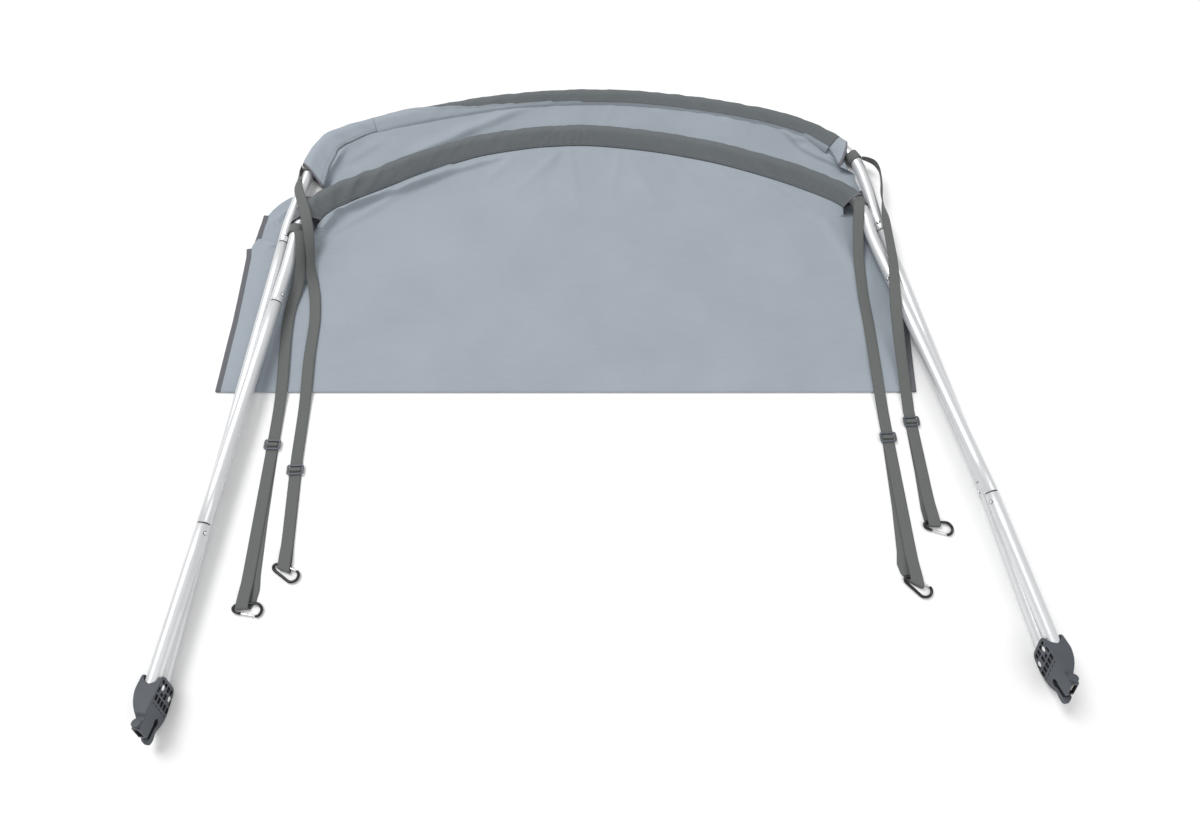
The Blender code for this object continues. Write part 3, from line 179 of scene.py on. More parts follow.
# How steeply an edge's shape fades inward, the share of the edge where its tape starts, and the share of the
# cloth that an edge moves.
EDGE_GRIP = {"lower_left": 3.3, "upper_left": 6.0, "lower_right": 3.3, "upper_right": 3.3}
BOUND_FROM = {"lower_left": 0.17, "upper_left": 0.225, "lower_right": 0.06, "upper_right": 0.05}
EDGE_REACH = 0.24
# How far from its seam each layer comes to rest, at the left edge, in the middle and at the right edge.
SETTLE = {"lower": (15.0, 62.0, 20.0), "upper": (25.0, 75.0, 22.0)}
SIDE_SHARE, FLAP_FROM, FLAP_REACH = 0.14, 0.9, 0.030
# Heights of the canopy's small waves, in metres.
RIPPLE, TUCK, PILLOW, PUCKER, DRIFT, FINE = 0.0013, 0.0035, 0.0014, 0.00055, 0.0011, 0.00035
CALM_RUN = 0.012
# Rows of points up to the level line and on to the fold, and angles round the fold.
SEAM_ROWS, LEVEL_ROWS = 58, 40
TURN_ANGLES = (-68.0, -45.0, -22.0, 0.0, 22.0, 45.0, 68.0)

# Folds of each layer: from x, y, to x, y, half width, height, and how much steeper the side on the right hand
# is, all in mm but the last.
FOLDS = {
    "lower": [
        # between the two sleeves
        (-401, 484, -270, 551, 16, 7.0, 0.40), (-300, 538, -153, 612, 13, 5.6, 0.40),
        (-356, 462, -190, 562, 9, -2.4, 1.0), (-250, 500, -120, 560, 10, 2.6, 0.4),
        (-482, 556, -449, 578, 8, 4.2, 0.35), (-440, 548, -405, 580, 10, 2.4, 1.0),
        (-568, 404, -524, 507, 12, 6.0, 0.30), (-520, 470, -455, 520, 11, 2.0, 0.6),
        (300, 597, 300, 515, 8, -2.2, 1.0), (240, 590, 268, 520, 12, 2.4, 0.5),
        (336, 575, 402, 497, 8, 6.0, 0.35), (384, 519, 473, 527, 8, 6.0, 0.4),
        (430, 540, 486, 503, 7, 6.6, 0.3), (440, 480, 488, 426, 7, 6.0, 0.35),
        (398, 545, 459, 509, 6, 4.4, 0.5), (402, 500, 462, 452, 8, 5.0, 0.4),
        (100, 600, 150, 545, 12, 2.0, 0.6), (10, 612, -10, 560, 11, 1.8, 0.6),
        (-640, 300, -560, 345, 9, 3.0, 0.5), (-655, 262, -590, 300, 10, -1.2, 1.0),
        (-610, 372, -640, 330, 9, 2.0, 0.5), (-664, 300, -615, 352, 8, 3.4, 0.35),
    ],
    "upper": [
        # below the near sleeve, at the left
        (-578, 250, -515, 344, 15, 12.0, 0.28), (-522, 336, -424, 384, 15, 11.5, 0.28),
        (-432, 376, -304, 440, 14, 9.5, 0.32), (-312, 436, -216, 472, 11, 5.5, 0.4),
        (-536, 352, -436, 404, 6, 4.0, 0.4), (-448, 394, -340, 438, 6, 4.0, 0.4),
        (-560, 215, -490, 300, 14, 1.8, 0.8), (-540, 190, -440, 60, 26, 1.3, 1.0),
        (-640, 210, -600, 240, 9, 2.0, 0.5), (-646, 262, -612, 266, 8, 3.0, 0.4),
        (-640, 60, -655, -45, 16, 1.2, 1.0),
        # gathers in the middle
        (-79, 512, -183, 392, 11, 3.0, 0.45), (-79, 512, -58, 350, 12, 2.4, 0.5),
        (-79, 512, -122, 380, 9, -1.4, 1.0), (29, 508, 92, 368, 12, 2.8, 0.45),
        (29, 508, 8, 385, 10, 2.0, 0.6), (-175, 490, -250, 410, 10, 2.2, 0.5),
        (110, 495, 180, 400, 12, 2.2, 0.5), (185, 478, 260, 395, 12, 2.2, 0.5),
        # at the right
        (286, 448, 360, 388, 18, 3.6, 0.5), (358, 390, 428, 316, 18, 3.4, 0.5),
        (426, 320, 466, 200, 16, 3.0, 0.5), (262, 452, 364, 424, 7, -3.6, 0.6),
        (360, 425, 436, 392, 7, -3.6, 0.6), (434, 394, 480, 352, 7, -3.2, 0.6),
        (500, 60, 525, -40, 14, 1.2, 1.0), (505, 250, 470, 80, 14, 1.2, 1.0),
        # along the fold
        (-560, -34, 520, -36, 9, 0.9, 1.0), (-300, -8, 100, -14, 14, 0.7, 1.0),
    ],
}
# All folds are this much deeper than their table says.
FOLD_DEPTH = 1.25

# Where the canopy's cloth laps over the far sleeve: share of the sleeve, and how far in from the tube.
LAP = [(0.0, -12.6), (0.07, -11.0), (0.11, -4.0), (0.15, 3.0), (0.22, 11.0), (0.32, 15.5), (0.45, 19.0),
       (1.0, 20.0)]
LAP_COLUMNS, LAP_LIFT, LAP_WALL = 12, 0.0010, 0.0006
# Near the left mouth the lap dips into the cuff; its sewn side dips under the canopy, at these two places.
LAP_DIP, LAP_DIP_SHARE = 0.0020, 0.06
LAP_SEWN = ((0.0046, 0.0092), (0.0022, 0.0034))

# Straps: x, y, z in mm and roll in degrees, from the loop on the bow to where the strap doubles. band is the
# loop's share of the arch and its shift along it, aside is how far the return lies aside, both in metres.
STRAPS = {
    "left_far": {
        "bow": "far", "side": "left", "band": (0.1112, 0.006), "aside": 0.0,
        "rows": [(-602.6, 437, 20.5, 82), (-605.5, 420, 22.5, 74), (-604, 400, 28.5, 48),
                 (-597.5, 376, 33.5, 22), (-585.0, 345, 40.5, 14), (-573.5, 317, 45.5, 5),
                 (-565.0, 289, 45.0, -12), (-558.5, 259, 38.5, -35), (-555.0, 227, 27.0, -55),
                 (-551.5, 198, 17.5, -50), (-547.0, 172, 11.0, -20), (-540.5, 143, 7.8, 0),
                 (-534.0, 92, 7.4, 0), (-533.0, 20, 7.4, 0), (-529.5, -40, 7.2, 0), (-528.5, -85, 3.4, 0)],
        "slider": (-526.5, -197.0), "hook": (-518.5, -363.0),
    },
    "left_near": {
        "bow": "near", "side": "left", "band": (0.1170, -0.022), "aside": 0.011,
        "rows": [(-578.5, 272, 40.3, -20), (-572.5, 248, 38.5, -35), (-569.5, 218, 31.0, -45),
                 (-570.0, 190, 21.5, -40), (-575.5, 158, 12.5, -20), (-582.0, 117, 7.8, 0),
                 (-581.0, 62, 7.4, 0), (-573.5, -35, 7.2, 0), (-572.5, -80, 3.4, 0)],
        "slider": (-572.5, -151.0), "hook": (-574.5, -424.5),
    },
    "right_near": {
        "bow": "near", "side": "right", "band": (0.8680, 0.0125), "aside": -0.015,
        "rows": [(485.5, 344, 38.9, 12), (482.5, 318, 36.0, 16), (479.5, 290, 28.5, 14),
                 (478.5, 256, 18.0, 8), (478.0, 222, 10.5, 0), (477.5, 180, 7.8, 0), (477.0, 140, 7.4, 0),
                 (479.0, 76, 7.2, 0), (479.5, -35, 7.0, 0), (481.0, -80, 3.4, 0)],
        "slider": (483.0, -137.0), "hook": (492.5, -385.0),
    },
    "right_far": {
        "bow": "far", "side": "right", "band": (0.8670, 0.0235), "aside": -0.005,
        "rows": [(509.6, 460.5, 26.0, -62), (521.5, 455, 27.0, -70), (533.5, 446, 27.0, -74),
                 (540.5, 430, 25.5, -74), (541.0, 408, 24.5, -78), (538.0, 380, 25.0, -84),
                 (535.5, 350, 28.5, -66), (533.0, 311, 34.5, -30), (531.0, 262, 38.5, -20),
                 (529.0, 207, 43.5, -16), (524.0, 160, 46.5, -6), (519.8, 120, 46.0, 6),
                 (518.7, 84, 41.5, 10), (520.5, 38, 29.5, 6), (524.0, -4, 16.5, 0), (526.0, -50, 7.0, 0),
                 (526.7, -72, 3.6, 0)],
        "slider": (527.5, -107.0), "hook": (535.8, -289.0),
    },
}

# Snap hooks: the rod's centre line along the hook and from the back bar to the gate, in mm.
BACK_BAR = 2.3
HOOK_SHAPE = [(14.5, 16.1), (9.0, 14.4), (5.4, 12.6), (3.0, 9.8), (2.6, 6.6), (4.6, 3.8), (8.4, BACK_BAR),
              (23.0, BACK_BAR), (37.5, BACK_BAR), (42.4, 3.9), (46.2, 7.8), (47.7, 12.8), (46.4, 17.8),
              (42.6, 21.9), (38.2, 22.4)]
GATE_LINE = ((15.5, 16.38), (36.6, 22.03))
# Turned parts of the gates, in metres: distance along the axis and radius.
PIN_IN = 0.0014
GATE_PIN = [(-0.0022, 0.0007), (-0.0021, 0.0010), (0.0021, 0.0010), (0.0022, 0.0007)]
GATE_CATCH = [(-0.0021, 0.0007), (0.0021, 0.0007)]
HOOKS = {
    "left_far": {"turn": -21.0, "lead": 17.0, "on_gate": True},
    "left_near": {"turn": 5.0, "lead": 17.8, "on_gate": False},
    "right_near": {"turn": -31.0, "lead": 17.0, "on_gate": True},
    "right_far": {"turn": -2.5, "lead": 18.0, "on_gate": False},
}

# Foot brackets, in mm from the upper rivet: l to the foot, c down across it, t outward from the boat's side.
BRACKET_TILT = {"left": math.radians(18.5), "right": math.radians(24.5)}
PLATE, WALL = 17.5, 3.0
POCKET_DEPTH, GROOVE_DEPTH = 2.1, 1.1
MOUTH_HALF = [(-13, 13.6), (-9.5, 12.9), (-6.2, 11.2), (-3.2, 8.2), (-1.0, 4.4), (0.6, 0.0)]
FLOOR_GAP, LOWEST_EDGE = 0.4, 47.0
BLOCK_END, TIP_END = 65.0, 90
SLOT = (22.5, 30.5)
KNOB_SEAT = (59.8, -8.3, -11.6)
# Outlines in c and t of the latch's recess in the block, and of the catch's tongue and shank.
LATCH_RECESS = [(-4.3, -15.0), (-4.3, -6.8), (18.0, -6.8), (18.0, -15.0)]
TONGUE = [(-3.4, -14.3), (-3.4, -9.3), (13.8, -9.3), (13.8, -14.3)]
SHANK = [(1.0, -13.4), (1.0, -10.2), (9.4, -10.2), (9.4, -13.4)]
# Turned parts of the brackets, in metres: distance along the axis and radius.
RIVET_HEADS, RIVET_SHANK = (-0.0178, 0.0158), 0.0024
RIVET_DOME = [(0.0, 0.0040), (0.0005, 0.0040), (0.0010, 0.0034), (0.0013, 0.0022), (0.0014, 0.0)]
KNOB_SKIRT = [(0.0, 0.0062), (0.0004, 0.0066), (0.0028, 0.0066), (0.0031, 0.0062)]
# The groove under the knob's cap is coloured dark as painted shade.
KNOB_GROOVE = [(0.0030, 0.0055), (0.0045, 0.0055)]
KNOB_CAP = [(0.0044, 0.0060), (0.0046, 0.0066), (0.0060, 0.0066), (0.0065, 0.0063), (0.0068, 0.0056),
            (0.0068, 0.0030), (0.0065, 0.0026), (0.0065, 0.0)]
# Rows of l, top edge c, bottom edge c and how far out the plate stands. None takes the floor as the bottom.
HOUSING = [(-14.0, -5.0, 29.0, 14.0), (-13.4, -8.4, 32.4, 14.8), (-12.2, -10.4, 34.6, 15.2),
           (-10.6, -11.6, 36.8, 15.4), (-8.6, -12.0, None, 15.5), (-4.0, -12.0, None, 15.5),
           (0.0, -12.0, None, 15.5), (5.0, -12.0, None, 15.5), (10.0, -12.0, None, 15.3),
           (14.0, -12.0, None, 14.6), (18.0, -12.0, 47.2, 13.5), (23.0, -12.0, 47.6, 11.8),
           (28.0, -12.0, 47.7, 9.8), (33.0, -12.0, 47.0, 7.2), (38.0, -12.0, 45.6, 4.2),
           (42.0, -11.8, 44.0, 1.4),
           (44.5, -11.2, 42.6, -0.4), (46.5, -10.0, 41.4, -1.8), (48.5, -8.6, 40.4, -3.0),
           (51.0, -8.0, 39.9, -4.1), (54.0, -8.0, 40.4, -4.6), (58.0, -8.0, 41.9, -4.6),
           (62.0, -8.0, 42.6, -4.6),
           (65.5, -8.0, 42.2, -5.2), (68.0, -8.0, 40.8, -7.2), (69.6, -8.0, 39.2, -9.6),
           (70.5, -8.0, 37.4, -12.2), (70.9, -8.0, 36.0, -14.4)]
KEYHOLE = {"centre": (42.0, 26.8), "radius": 6.2, "from": -44.0, "to": -323.4}
POCKETS = [(-9.5 + 11.1 * row, -9.4 + 11.4 * column, 8.3, 8.5) for row, column in
           ((0, 2), (1, 2), (2, 0), (2, 1), (2, 2), (2, 3), (2, 4))]
POCKETS += [(-9.5, -9.0, 4.8, 7.9), (-9.5, 1.9, 4.8, 8.4), (-9.5, 24.7, 6.6, 8.0), (1.6, -9.5, 8.4, 4.6),
            (5.4, 1.9, 4.6, 8.4), (1.6, 38.2, 8.4, 3.0)]


# ------------------------------------------------------------------ reading the tables

def mm(row):
    return Vector(row) * MM


def smooth_path(stations, per_span=12):
    """A dense polyline on the Catmull-Rom curve through the stations, which may have any width."""
    rows = [[float(v) for v in row] for row in stations]
    first, last = ([2 * a - b for a, b in zip(end, inner)] for end, inner in
                   ((rows[0], rows[1]), (rows[-1], rows[-2])))
    rows = [first] + rows + [last]
    dense = [[0.5 * (2 * b + (c - a) * t + (2 * a - 5 * b + 4 * c - d) * t * t
                     + (3 * b - a - 3 * c + d) * t ** 3) for a, b, c, d in zip(*rows[k - 1:k + 3])]
             for k in range(1, len(rows) - 2) for t in (step / per_span for step in range(per_span))]
    return dense + [rows[-2]]


def read_table(table, share, ease=False):
    """Reads rows of (share, values...) between two rows, by straight lines or eased."""
    for low, high in zip(table, table[1:]):
        if share <= high[0]:
            t = min(1.0, max(0.0, (share - low[0]) / (high[0] - low[0])))
            t = t * t * (3 - 2 * t) if ease else t
            return [a + (b - a) * t for a, b in zip(low[1:], high[1:])]
    return list(table[-1][1:])


def bell(distance, width):
    return math.exp(-(distance / width) ** 2)


def lengths(points):
    """How far along a line of points each of them is."""
    at = [0.0]
    for a, b in zip(points, points[1:]):
        at.append(at[-1] + (b - a).length)
    return at


class Path:
    """A polyline read by length."""

    def __init__(self, points):
        self.points = [Vector(p) for p in points]
        self.at = lengths(self.points)
        self.length = self.at[-1]

    def place(self, s):
        s = min(self.length, max(0.0, s))
        low, high = 1, len(self.at) - 1
        while low < high:
            middle = (low + high) // 2
            low, high = (low, middle) if self.at[middle] >= s else (middle + 1, high)
        t = (s - self.at[low - 1]) / max(1e-9, self.at[low] - self.at[low - 1])
        return self.points[low - 1].lerp(self.points[low], t)

    def heading(self, s, reach=0.006):
        return (self.place(min(s + reach, self.length)) - self.place(max(s - reach, 0.0))).normalized()

    @staticmethod
    def steps(start, end, step):
        """Evenly spaced stops from start to end, no further apart than step."""
        count = max(2, math.ceil((end - start) / step))
        return [start + (end - start) * k / count for k in range(count + 1)]


def level_axes(heading):
    """Axes across a path: side lies level to its right, and rise is square to both."""
    side = heading.cross(UP).normalized()
    return side, side.cross(heading).normalized()


def ring(centre, heading, radius, sides):
    side, rise = level_axes(heading)
    turn = 2 * math.pi / sides
    return [centre + radius * (math.cos(turn * i) * side + math.sin(turn * i) * rise) for i in range(sides)]


def axes_at(origin, *axes):
    """A matrix with its own axes at a place."""
    place = Matrix(axes).transposed().to_4x4()
    place.translation = origin
    return place


def arch_path(bow):
    """Axis of a bow's arch, straight for a little way above each joint."""
    rows = BOWS[bow]
    tops = [mm(rows[f"top_{side}"]) for side in SIDES]
    ups = [(top - mm(rows[f"low_{side}"])).normalized() for top, side in zip(tops, SIDES)]
    start = [tops[0] + ups[0] * s for s in (JOINT_HALF, STRAIGHT_END)]
    end = [tops[1] + ups[1] * s for s in (STRAIGHT_END, JOINT_HALF)]
    return Path(smooth_path(start + [mm(r) for r in rows["arch"]] + end, 10))


ARCH = {bow: arch_path(bow) for bow in BOWS}


def joint_frame(bow, side, level):
    """Where two tube lengths meet, and the way from the foot up to the arch there."""
    rows = BOWS[bow]
    at = mm(rows[f"{level}_{side}"])
    if level == "top":
        arch = ARCH[bow]
        spot = BUTTON_FROM_JOINT if side == "left" else arch.length - BUTTON_FROM_JOINT
        return at, (arch.place(spot) - at).normalized()
    return at, (at - mm(rows[f"foot_{side}"])).normalized()


def button_frame(bow, side, level):
    at, up = joint_frame(bow, side, level)
    centre = at + up * (BUTTON_FROM_JOINT if level == "top" else -BUTTON_FROM_JOINT)
    inward = Vector((1 if side == "left" else -1, 0, 0))
    inward = (inward - inward.dot(up) * up).normalized()
    rise = up.cross(inward)
    if rise.z < 0:
        rise = -rise
    tilt = BUTTON_UP[bow, level]
    return centre, (math.cos(tilt) * inward + math.sin(tilt) * rise).normalized()


# ------------------------------------------------------------------ making pieces

def skin(name, rows, loop=False, ends=False, across=None, along=None):
    """A surface through rows of points; across and along give its cloth coordinates, in metres."""
    width = len(rows[0])
    points = [p for row in rows for p in row]
    faces = []
    for r in range(len(rows) - 1):
        for i in range(width if loop else width - 1):
            j = (i + 1) % width
            faces.append((r * width + i, r * width + j, (r + 1) * width + j, (r + 1) * width + i))
    if ends:
        faces += [tuple(reversed(range(width))), tuple(range(len(points) - width, len(points)))]
    mesh = bpy.data.meshes.new(name)
    mesh.from_pydata([tuple(p) for p in points], [], faces)
    if loop and ends:
        outward(mesh)
    if across is not None:
        cloth = mesh.uv_layers.new(name="cloth")
        for corner in mesh.loops:
            row, column = divmod(corner.vertex_index, width)
            cloth.data[corner.index].uv = (across[column], along[row])
    return mesh


def outward(mesh, merge=0.0):
    """Turns all faces outward, after joining points that are closer together than merge."""
    shape = bmesh.new()
    shape.from_mesh(mesh)
    if merge:
        bmesh.ops.remove_doubles(shape, verts=shape.verts, dist=merge)
    bmesh.ops.recalc_face_normals(shape, faces=shape.faces)
    shape.to_mesh(mesh)
    shape.free()


def numbered(mesh, number):
    """Gives every face of a mesh one material number."""
    for face in mesh.polygons:
        face.material_index = number
    return mesh


def linked(name, data):
    """A new object in the scene."""
    made = bpy.data.objects.new(name, data)
    bpy.context.scene.collection.objects.link(made)
    return made


def dropped(pieces):
    for piece in pieces:
        bpy.data.objects.remove(piece, do_unlink=True)


def joined(name, meshes):
    """One mesh out of several, which keep their faces' material numbers."""
    shape = bmesh.new()
    for mesh in meshes:
        shape.from_mesh(mesh)
    made = bpy.data.meshes.new(name)
    shape.to_mesh(made)
    shape.free()
    return made


def put(name, mesh, finishes, replaced=(), body=ROOT, sharp=40.0):
    """Links a mesh made in the tables' axes, on the frame's origin and on its body."""
    mesh.transform(Matrix.Translation(-ORIGIN * MM))
    numbers = [face.material_index for face in mesh.polygons]
    for finish in finishes:
        mesh.materials.append(finish)
    for face, number in zip(mesh.polygons, numbers):
        face.material_index = number
    mesh.shade_smooth()
    mesh.set_sharp_from_angle(angle=math.radians(sharp))
    piece = linked(name, mesh)
    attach(piece, body)
    if replaced:
        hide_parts(*replaced)
    return piece


def evaluated_mesh(piece):
    """The mesh of a piece as its modifiers or curve settings make it."""
    graph = bpy.context.evaluated_depsgraph_get()
    return bpy.data.meshes.new_from_object(piece.evaluated_get(graph), preserve_all_data_layers=True,
                                           depsgraph=graph)


def thicken(piece, thickness, offset):
    """Gives a sheet its wall."""
    wall = piece.modifiers.new("thickness", "SOLIDIFY")
    wall.thickness = thickness
    wall.offset = offset


def plate(name, loops, low, high, bevel, place):
    """A flat solid with rounded edges inside closed outlines; outlines after the first are holes."""
    curve = bpy.data.curves.new(name, "CURVE")
    curve.dimensions = "2D"
    curve.fill_mode = "BOTH"
    curve.extrude = (high - low) / 2 - bevel
    curve.bevel_depth = bevel
    curve.bevel_resolution = 2
    curve.offset = -bevel
    for loop in loops:
        spline = curve.splines.new("POLY")
        spline.points.add(len(loop) - 1)
        for point, (x, y) in zip(spline.points, loop):
            point.co = (x, y, 0.0, 1.0)
        spline.use_cyclic_u = True
    holder = linked(name, curve)
    mesh = evaluated_mesh(holder)
    dropped([holder])
    bpy.data.curves.remove(curve)
    outward(mesh, 1e-6)
    mesh.transform(place @ Matrix.Translation((0, 0, (low + high) / 2)))
    mesh.materials.clear()
    return mesh


def carved(name, body, cutters):
    """body less each of the cutters, as a new mesh; cut faces keep the cutter's own material number."""
    holder, *knives = (linked(name, mesh) for mesh in (body, *cutters))
    for mesh in (body, *cutters):
        for _ in range(2):
            mesh.materials.append(None)
    for knife in knives:
        cut = holder.modifiers.new("cut", "BOOLEAN")
        cut.operation = "DIFFERENCE"
        cut.solver = "EXACT"
        cut.object = knife
    mesh = evaluated_mesh(holder)
    dropped([holder] + knives)
    numbers = [face.material_index for face in mesh.polygons]
    mesh.materials.clear()
    for face, number in zip(mesh.polygons, numbers):
        face.material_index = number
    return mesh


def rounded(corners, radius, steps=4):
    """A closed outline with each corner rounded off, in steps + 1 points."""
    corners = [Vector(corner) for corner in corners]
    made = []
    for before, here, after in zip(corners[-1:] + corners, corners, corners[1:] + corners[:1]):
        start, end = (here + (other - here).normalized() * min(radius, (other - here).length * 0.45)
                      for other in (before, after))
        for t in (i / steps for i in range(steps + 1)):
            made.append(tuple(start * (1 - t) ** 2 + here * 2 * t * (1 - t) + end * t ** 2))
    return made


def turned(centre, axis, profile, sides=28):
    """A turned solid: profile rows are distance along the axis and radius."""
    return skin("turned", [ring(centre + axis * d, axis, max(r, 1e-5), sides) for d, r in profile],
                loop=True, ends=True)


# ------------------------------------------------------------------ finishes

# Spacing of a wave texture's bands at scale 1, in metres.
WAVE_SPACING = 0.31


class Finish:
    """A material in the making: its shader, where its textures lie, and a bump that waits for heights."""

    def __init__(self, name, colour, roughness, metallic=0.0, sheen=0.0):
        self.material = bpy.data.materials.new(name)
        self.material.use_nodes = True
        self.tree, self.colour = self.material.node_tree, colour
        self.shader = self.tree.nodes["Principled BSDF"]
        self.set(self.shader, {"Base Color": (*colour, 1.0), "Roughness": roughness, "Metallic": metallic,
                               "Sheen Weight": sheen, "Sheen Roughness": 0.45})
        place = self.tree.nodes.new("ShaderNodeTexCoord").outputs
        self.at, self.cloth = place["Object"], place["UV"]
        self.bump = self.tree.nodes.new("ShaderNodeBump")
        self.tree.links.new(self.bump.outputs["Normal"], self.shader.inputs["Normal"])

    def set(self, node, inputs):
        """Links each input to a socket, or sets it to a value."""
        for name, value in inputs.items():
            if isinstance(value, bpy.types.NodeSocket):
                self.tree.links.new(value, node.inputs[name])
            else:
                node.inputs[name].default_value = value

    def node(self, kind, inputs, **settings):
        made = self.tree.nodes.new(f"ShaderNode{kind}")
        for name, value in settings.items():
            setattr(made, name, value)
        self.set(made, inputs)
        return made.outputs

    def reckon(self, operation, *numbers):
        return self.node("Math", dict(enumerate(numbers)), operation=operation)[0]

    def speckle(self, vector, scale, detail=3.0):
        return self.node("TexNoise", {"Vector": vector, "Scale": scale, "Detail": detail,
                                      "Roughness": 0.55})["Fac"]

    def streaks(self, *scale):
        """Speckle drawn out along the axes with a small scale."""
        return self.speckle(self.node("Mapping", {"Vector": self.at, "Scale": scale})["Vector"], 1.0, 2.0)

    def stripes(self, vector, spacing, direction, distortion=0.0):
        inputs = {"Vector": vector, "Scale": WAVE_SPACING / spacing, "Detail": 1.0, "Distortion": distortion}
        return self.node("TexWave", inputs, wave_type="BANDS", bands_direction=direction)["Fac"]

    def mixed(self, *terms):
        """The sum of sockets, each times its weight."""
        total = None
        for socket, weight in terms:
            scaled = self.reckon("MULTIPLY", socket, weight)
            total = self.reckon("ADD", total, scaled) if total else scaled
        return total

    def tint(self, factor, dark, light, low=0.3, high=0.7):
        """Base colour between a darker and a lighter tone, as factor goes from low to high."""
        ramp = self.tree.nodes.new("ShaderNodeValToRGB")
        for stop, position, amount in zip(ramp.color_ramp.elements, (low, high), (dark, light)):
            stop.position = position
            stop.color = (*times(self.colour, amount), 1.0)
        self.set(ramp, {"Fac": factor})
        self.set(self.shader, {"Base Color": ramp.outputs["Color"]})

    def emboss(self, height, strength, distance):
        self.set(self.bump, {"Strength": strength, "Distance": distance, "Height": height})


def times(colour, amount):
    return tuple(min(1.0, c * amount) for c in colour)


def woven_cloth(name, colour, pitch, sheen=0.08, rough=0.82):
    """Plain-weave polyester: crossing threads, uneven yarns and faint cloudy shade."""
    made = Finish(name, colour, rough, sheen=sheen)
    warp, weft = (made.stripes(made.at, pitch, way, 0.4) for way in "XY")
    slub = made.streaks(26.0, 900.0, 60.0)
    cloud, grain = made.speckle(made.at, 7.0, 4.0), made.speckle(made.at, 900.0, 2.0)
    made.emboss(made.mixed((warp, 0.4), (weft, 0.4), (slub, 0.5), (grain, 0.3)), 0.22, 0.0003)
    made.tint(made.mixed((cloud, 0.55), (slub, 0.30), (grain, 0.15)), 0.94, 1.06, 0.35, 0.65)
    return made.material


def woven_tape(name, colour, rib=0.0011):
    """Ribbed tape; ribs run across it."""
    made = Finish(name, colour, 0.85, sheen=0.05)
    ribs, grain = made.stripes(made.cloth, rib, "Y"), made.speckle(made.at, 1400.0, 2.0)
    made.emboss(made.mixed((ribs, 0.8), (grain, 0.4)), 0.35, 0.0003)
    made.tint(made.mixed((ribs, 0.35), (grain, 0.65)), 0.86, 1.14)
    return made.material


def webbing_finish(name, colour):
    """Herringbone webbing: slanted ribs that meet along the middle lines, with a tighter edge."""
    made = Finish(name, colour, 0.88, sheen=0.06)
    parts = made.node("SeparateXYZ", {"Vector": made.cloth})
    slant = made.reckon("ADD", made.reckon("PINGPONG", parts["X"], WEB_WIDTH / 8), parts["Y"])
    ribs = made.stripes(made.node("CombineXYZ", {"Y": slant})["Vector"], 0.0010, "Y")
    grain = made.speckle(made.at, 1200.0, 2.0)
    body = made.reckon("COMPARE", parts["X"], WEB_WIDTH / 2, 0.0084)
    made.emboss(made.mixed((ribs, 0.9), (grain, 0.3), (body, 0.5)), 0.4, 0.0003)
    made.tint(made.mixed((ribs, 0.35), (grain, 0.35), (body, 0.30)), 0.80, 1.12, 0.2, 0.8)
    return made.material


def drawn_aluminium(name, colour):
    """Satin tube with faint drawing lines along it and a few rubbed spots."""
    made = Finish(name, colour, 0.34, metallic=0.55)
    lines, rubs = made.streaks(900.0, 9.0, 900.0), made.speckle(made.at, 55.0, 4.0)
    made.emboss(made.mixed((lines, 0.7), (rubs, 0.3)), 0.06, 0.0002)
    wear = made.node("MapRange", {"Value": rubs, "To Min": 0.26, "To Max": 0.44})
    made.set(made.shader, {"Roughness": wear["Result"]})
    made.tint(lines, 0.97, 1.02)
    return made.material


def moulded_plastic(name, colour, rough=0.5):
    """Moulded nylon with a fine spark texture and paler worn high spots."""
    made = Finish(name, colour, rough)
    made.set(made.shader, {"Specular IOR Level": 0.3})
    grain, cloud = made.speckle(made.at, 1600.0, 2.0), made.speckle(made.at, 45.0)
    made.emboss(grain, 0.18, 0.0002)
    made.tint(made.mixed((cloud, 0.7), (grain, 0.3)), 0.92, 1.10)
    return made.material


def coated_rod(name, colour):
    """Black coated rod, slightly rippled, with soft highlights, partly real from its gloss and partly painted
    lighter on the ripple's raised spots.
    """
    made = Finish(name, colour, 0.30, metallic=0.2)
    ripple = made.speckle(made.at, 420.0, 2.0)
    made.emboss(ripple, 0.25, 0.0003)
    # Painted highlight: the colour is lighter where the ripple stands up.
    made.tint(ripple, 0.8, 1.5, 0.35)
    return made.material


def polished_steel(name, colour):
    """Bright metal with faint scuffs."""
    made = Finish(name, colour, 0.2, metallic=1.0)
    scuff = made.speckle(made.at, 700.0)
    made.emboss(scuff, 0.05, 0.0002)
    made.tint(scuff, 0.94, 1.04)
    return made.material


def floor_paper(name, colour):
    """Matt paper with a faint grain."""
    made = Finish(name, colour, 0.95)
    made.set(made.shader, {"Specular IOR Level": 0.1})
    made.emboss(made.speckle(made.at, 300.0, 2.0), 0.02, 0.0002)
    return made.material


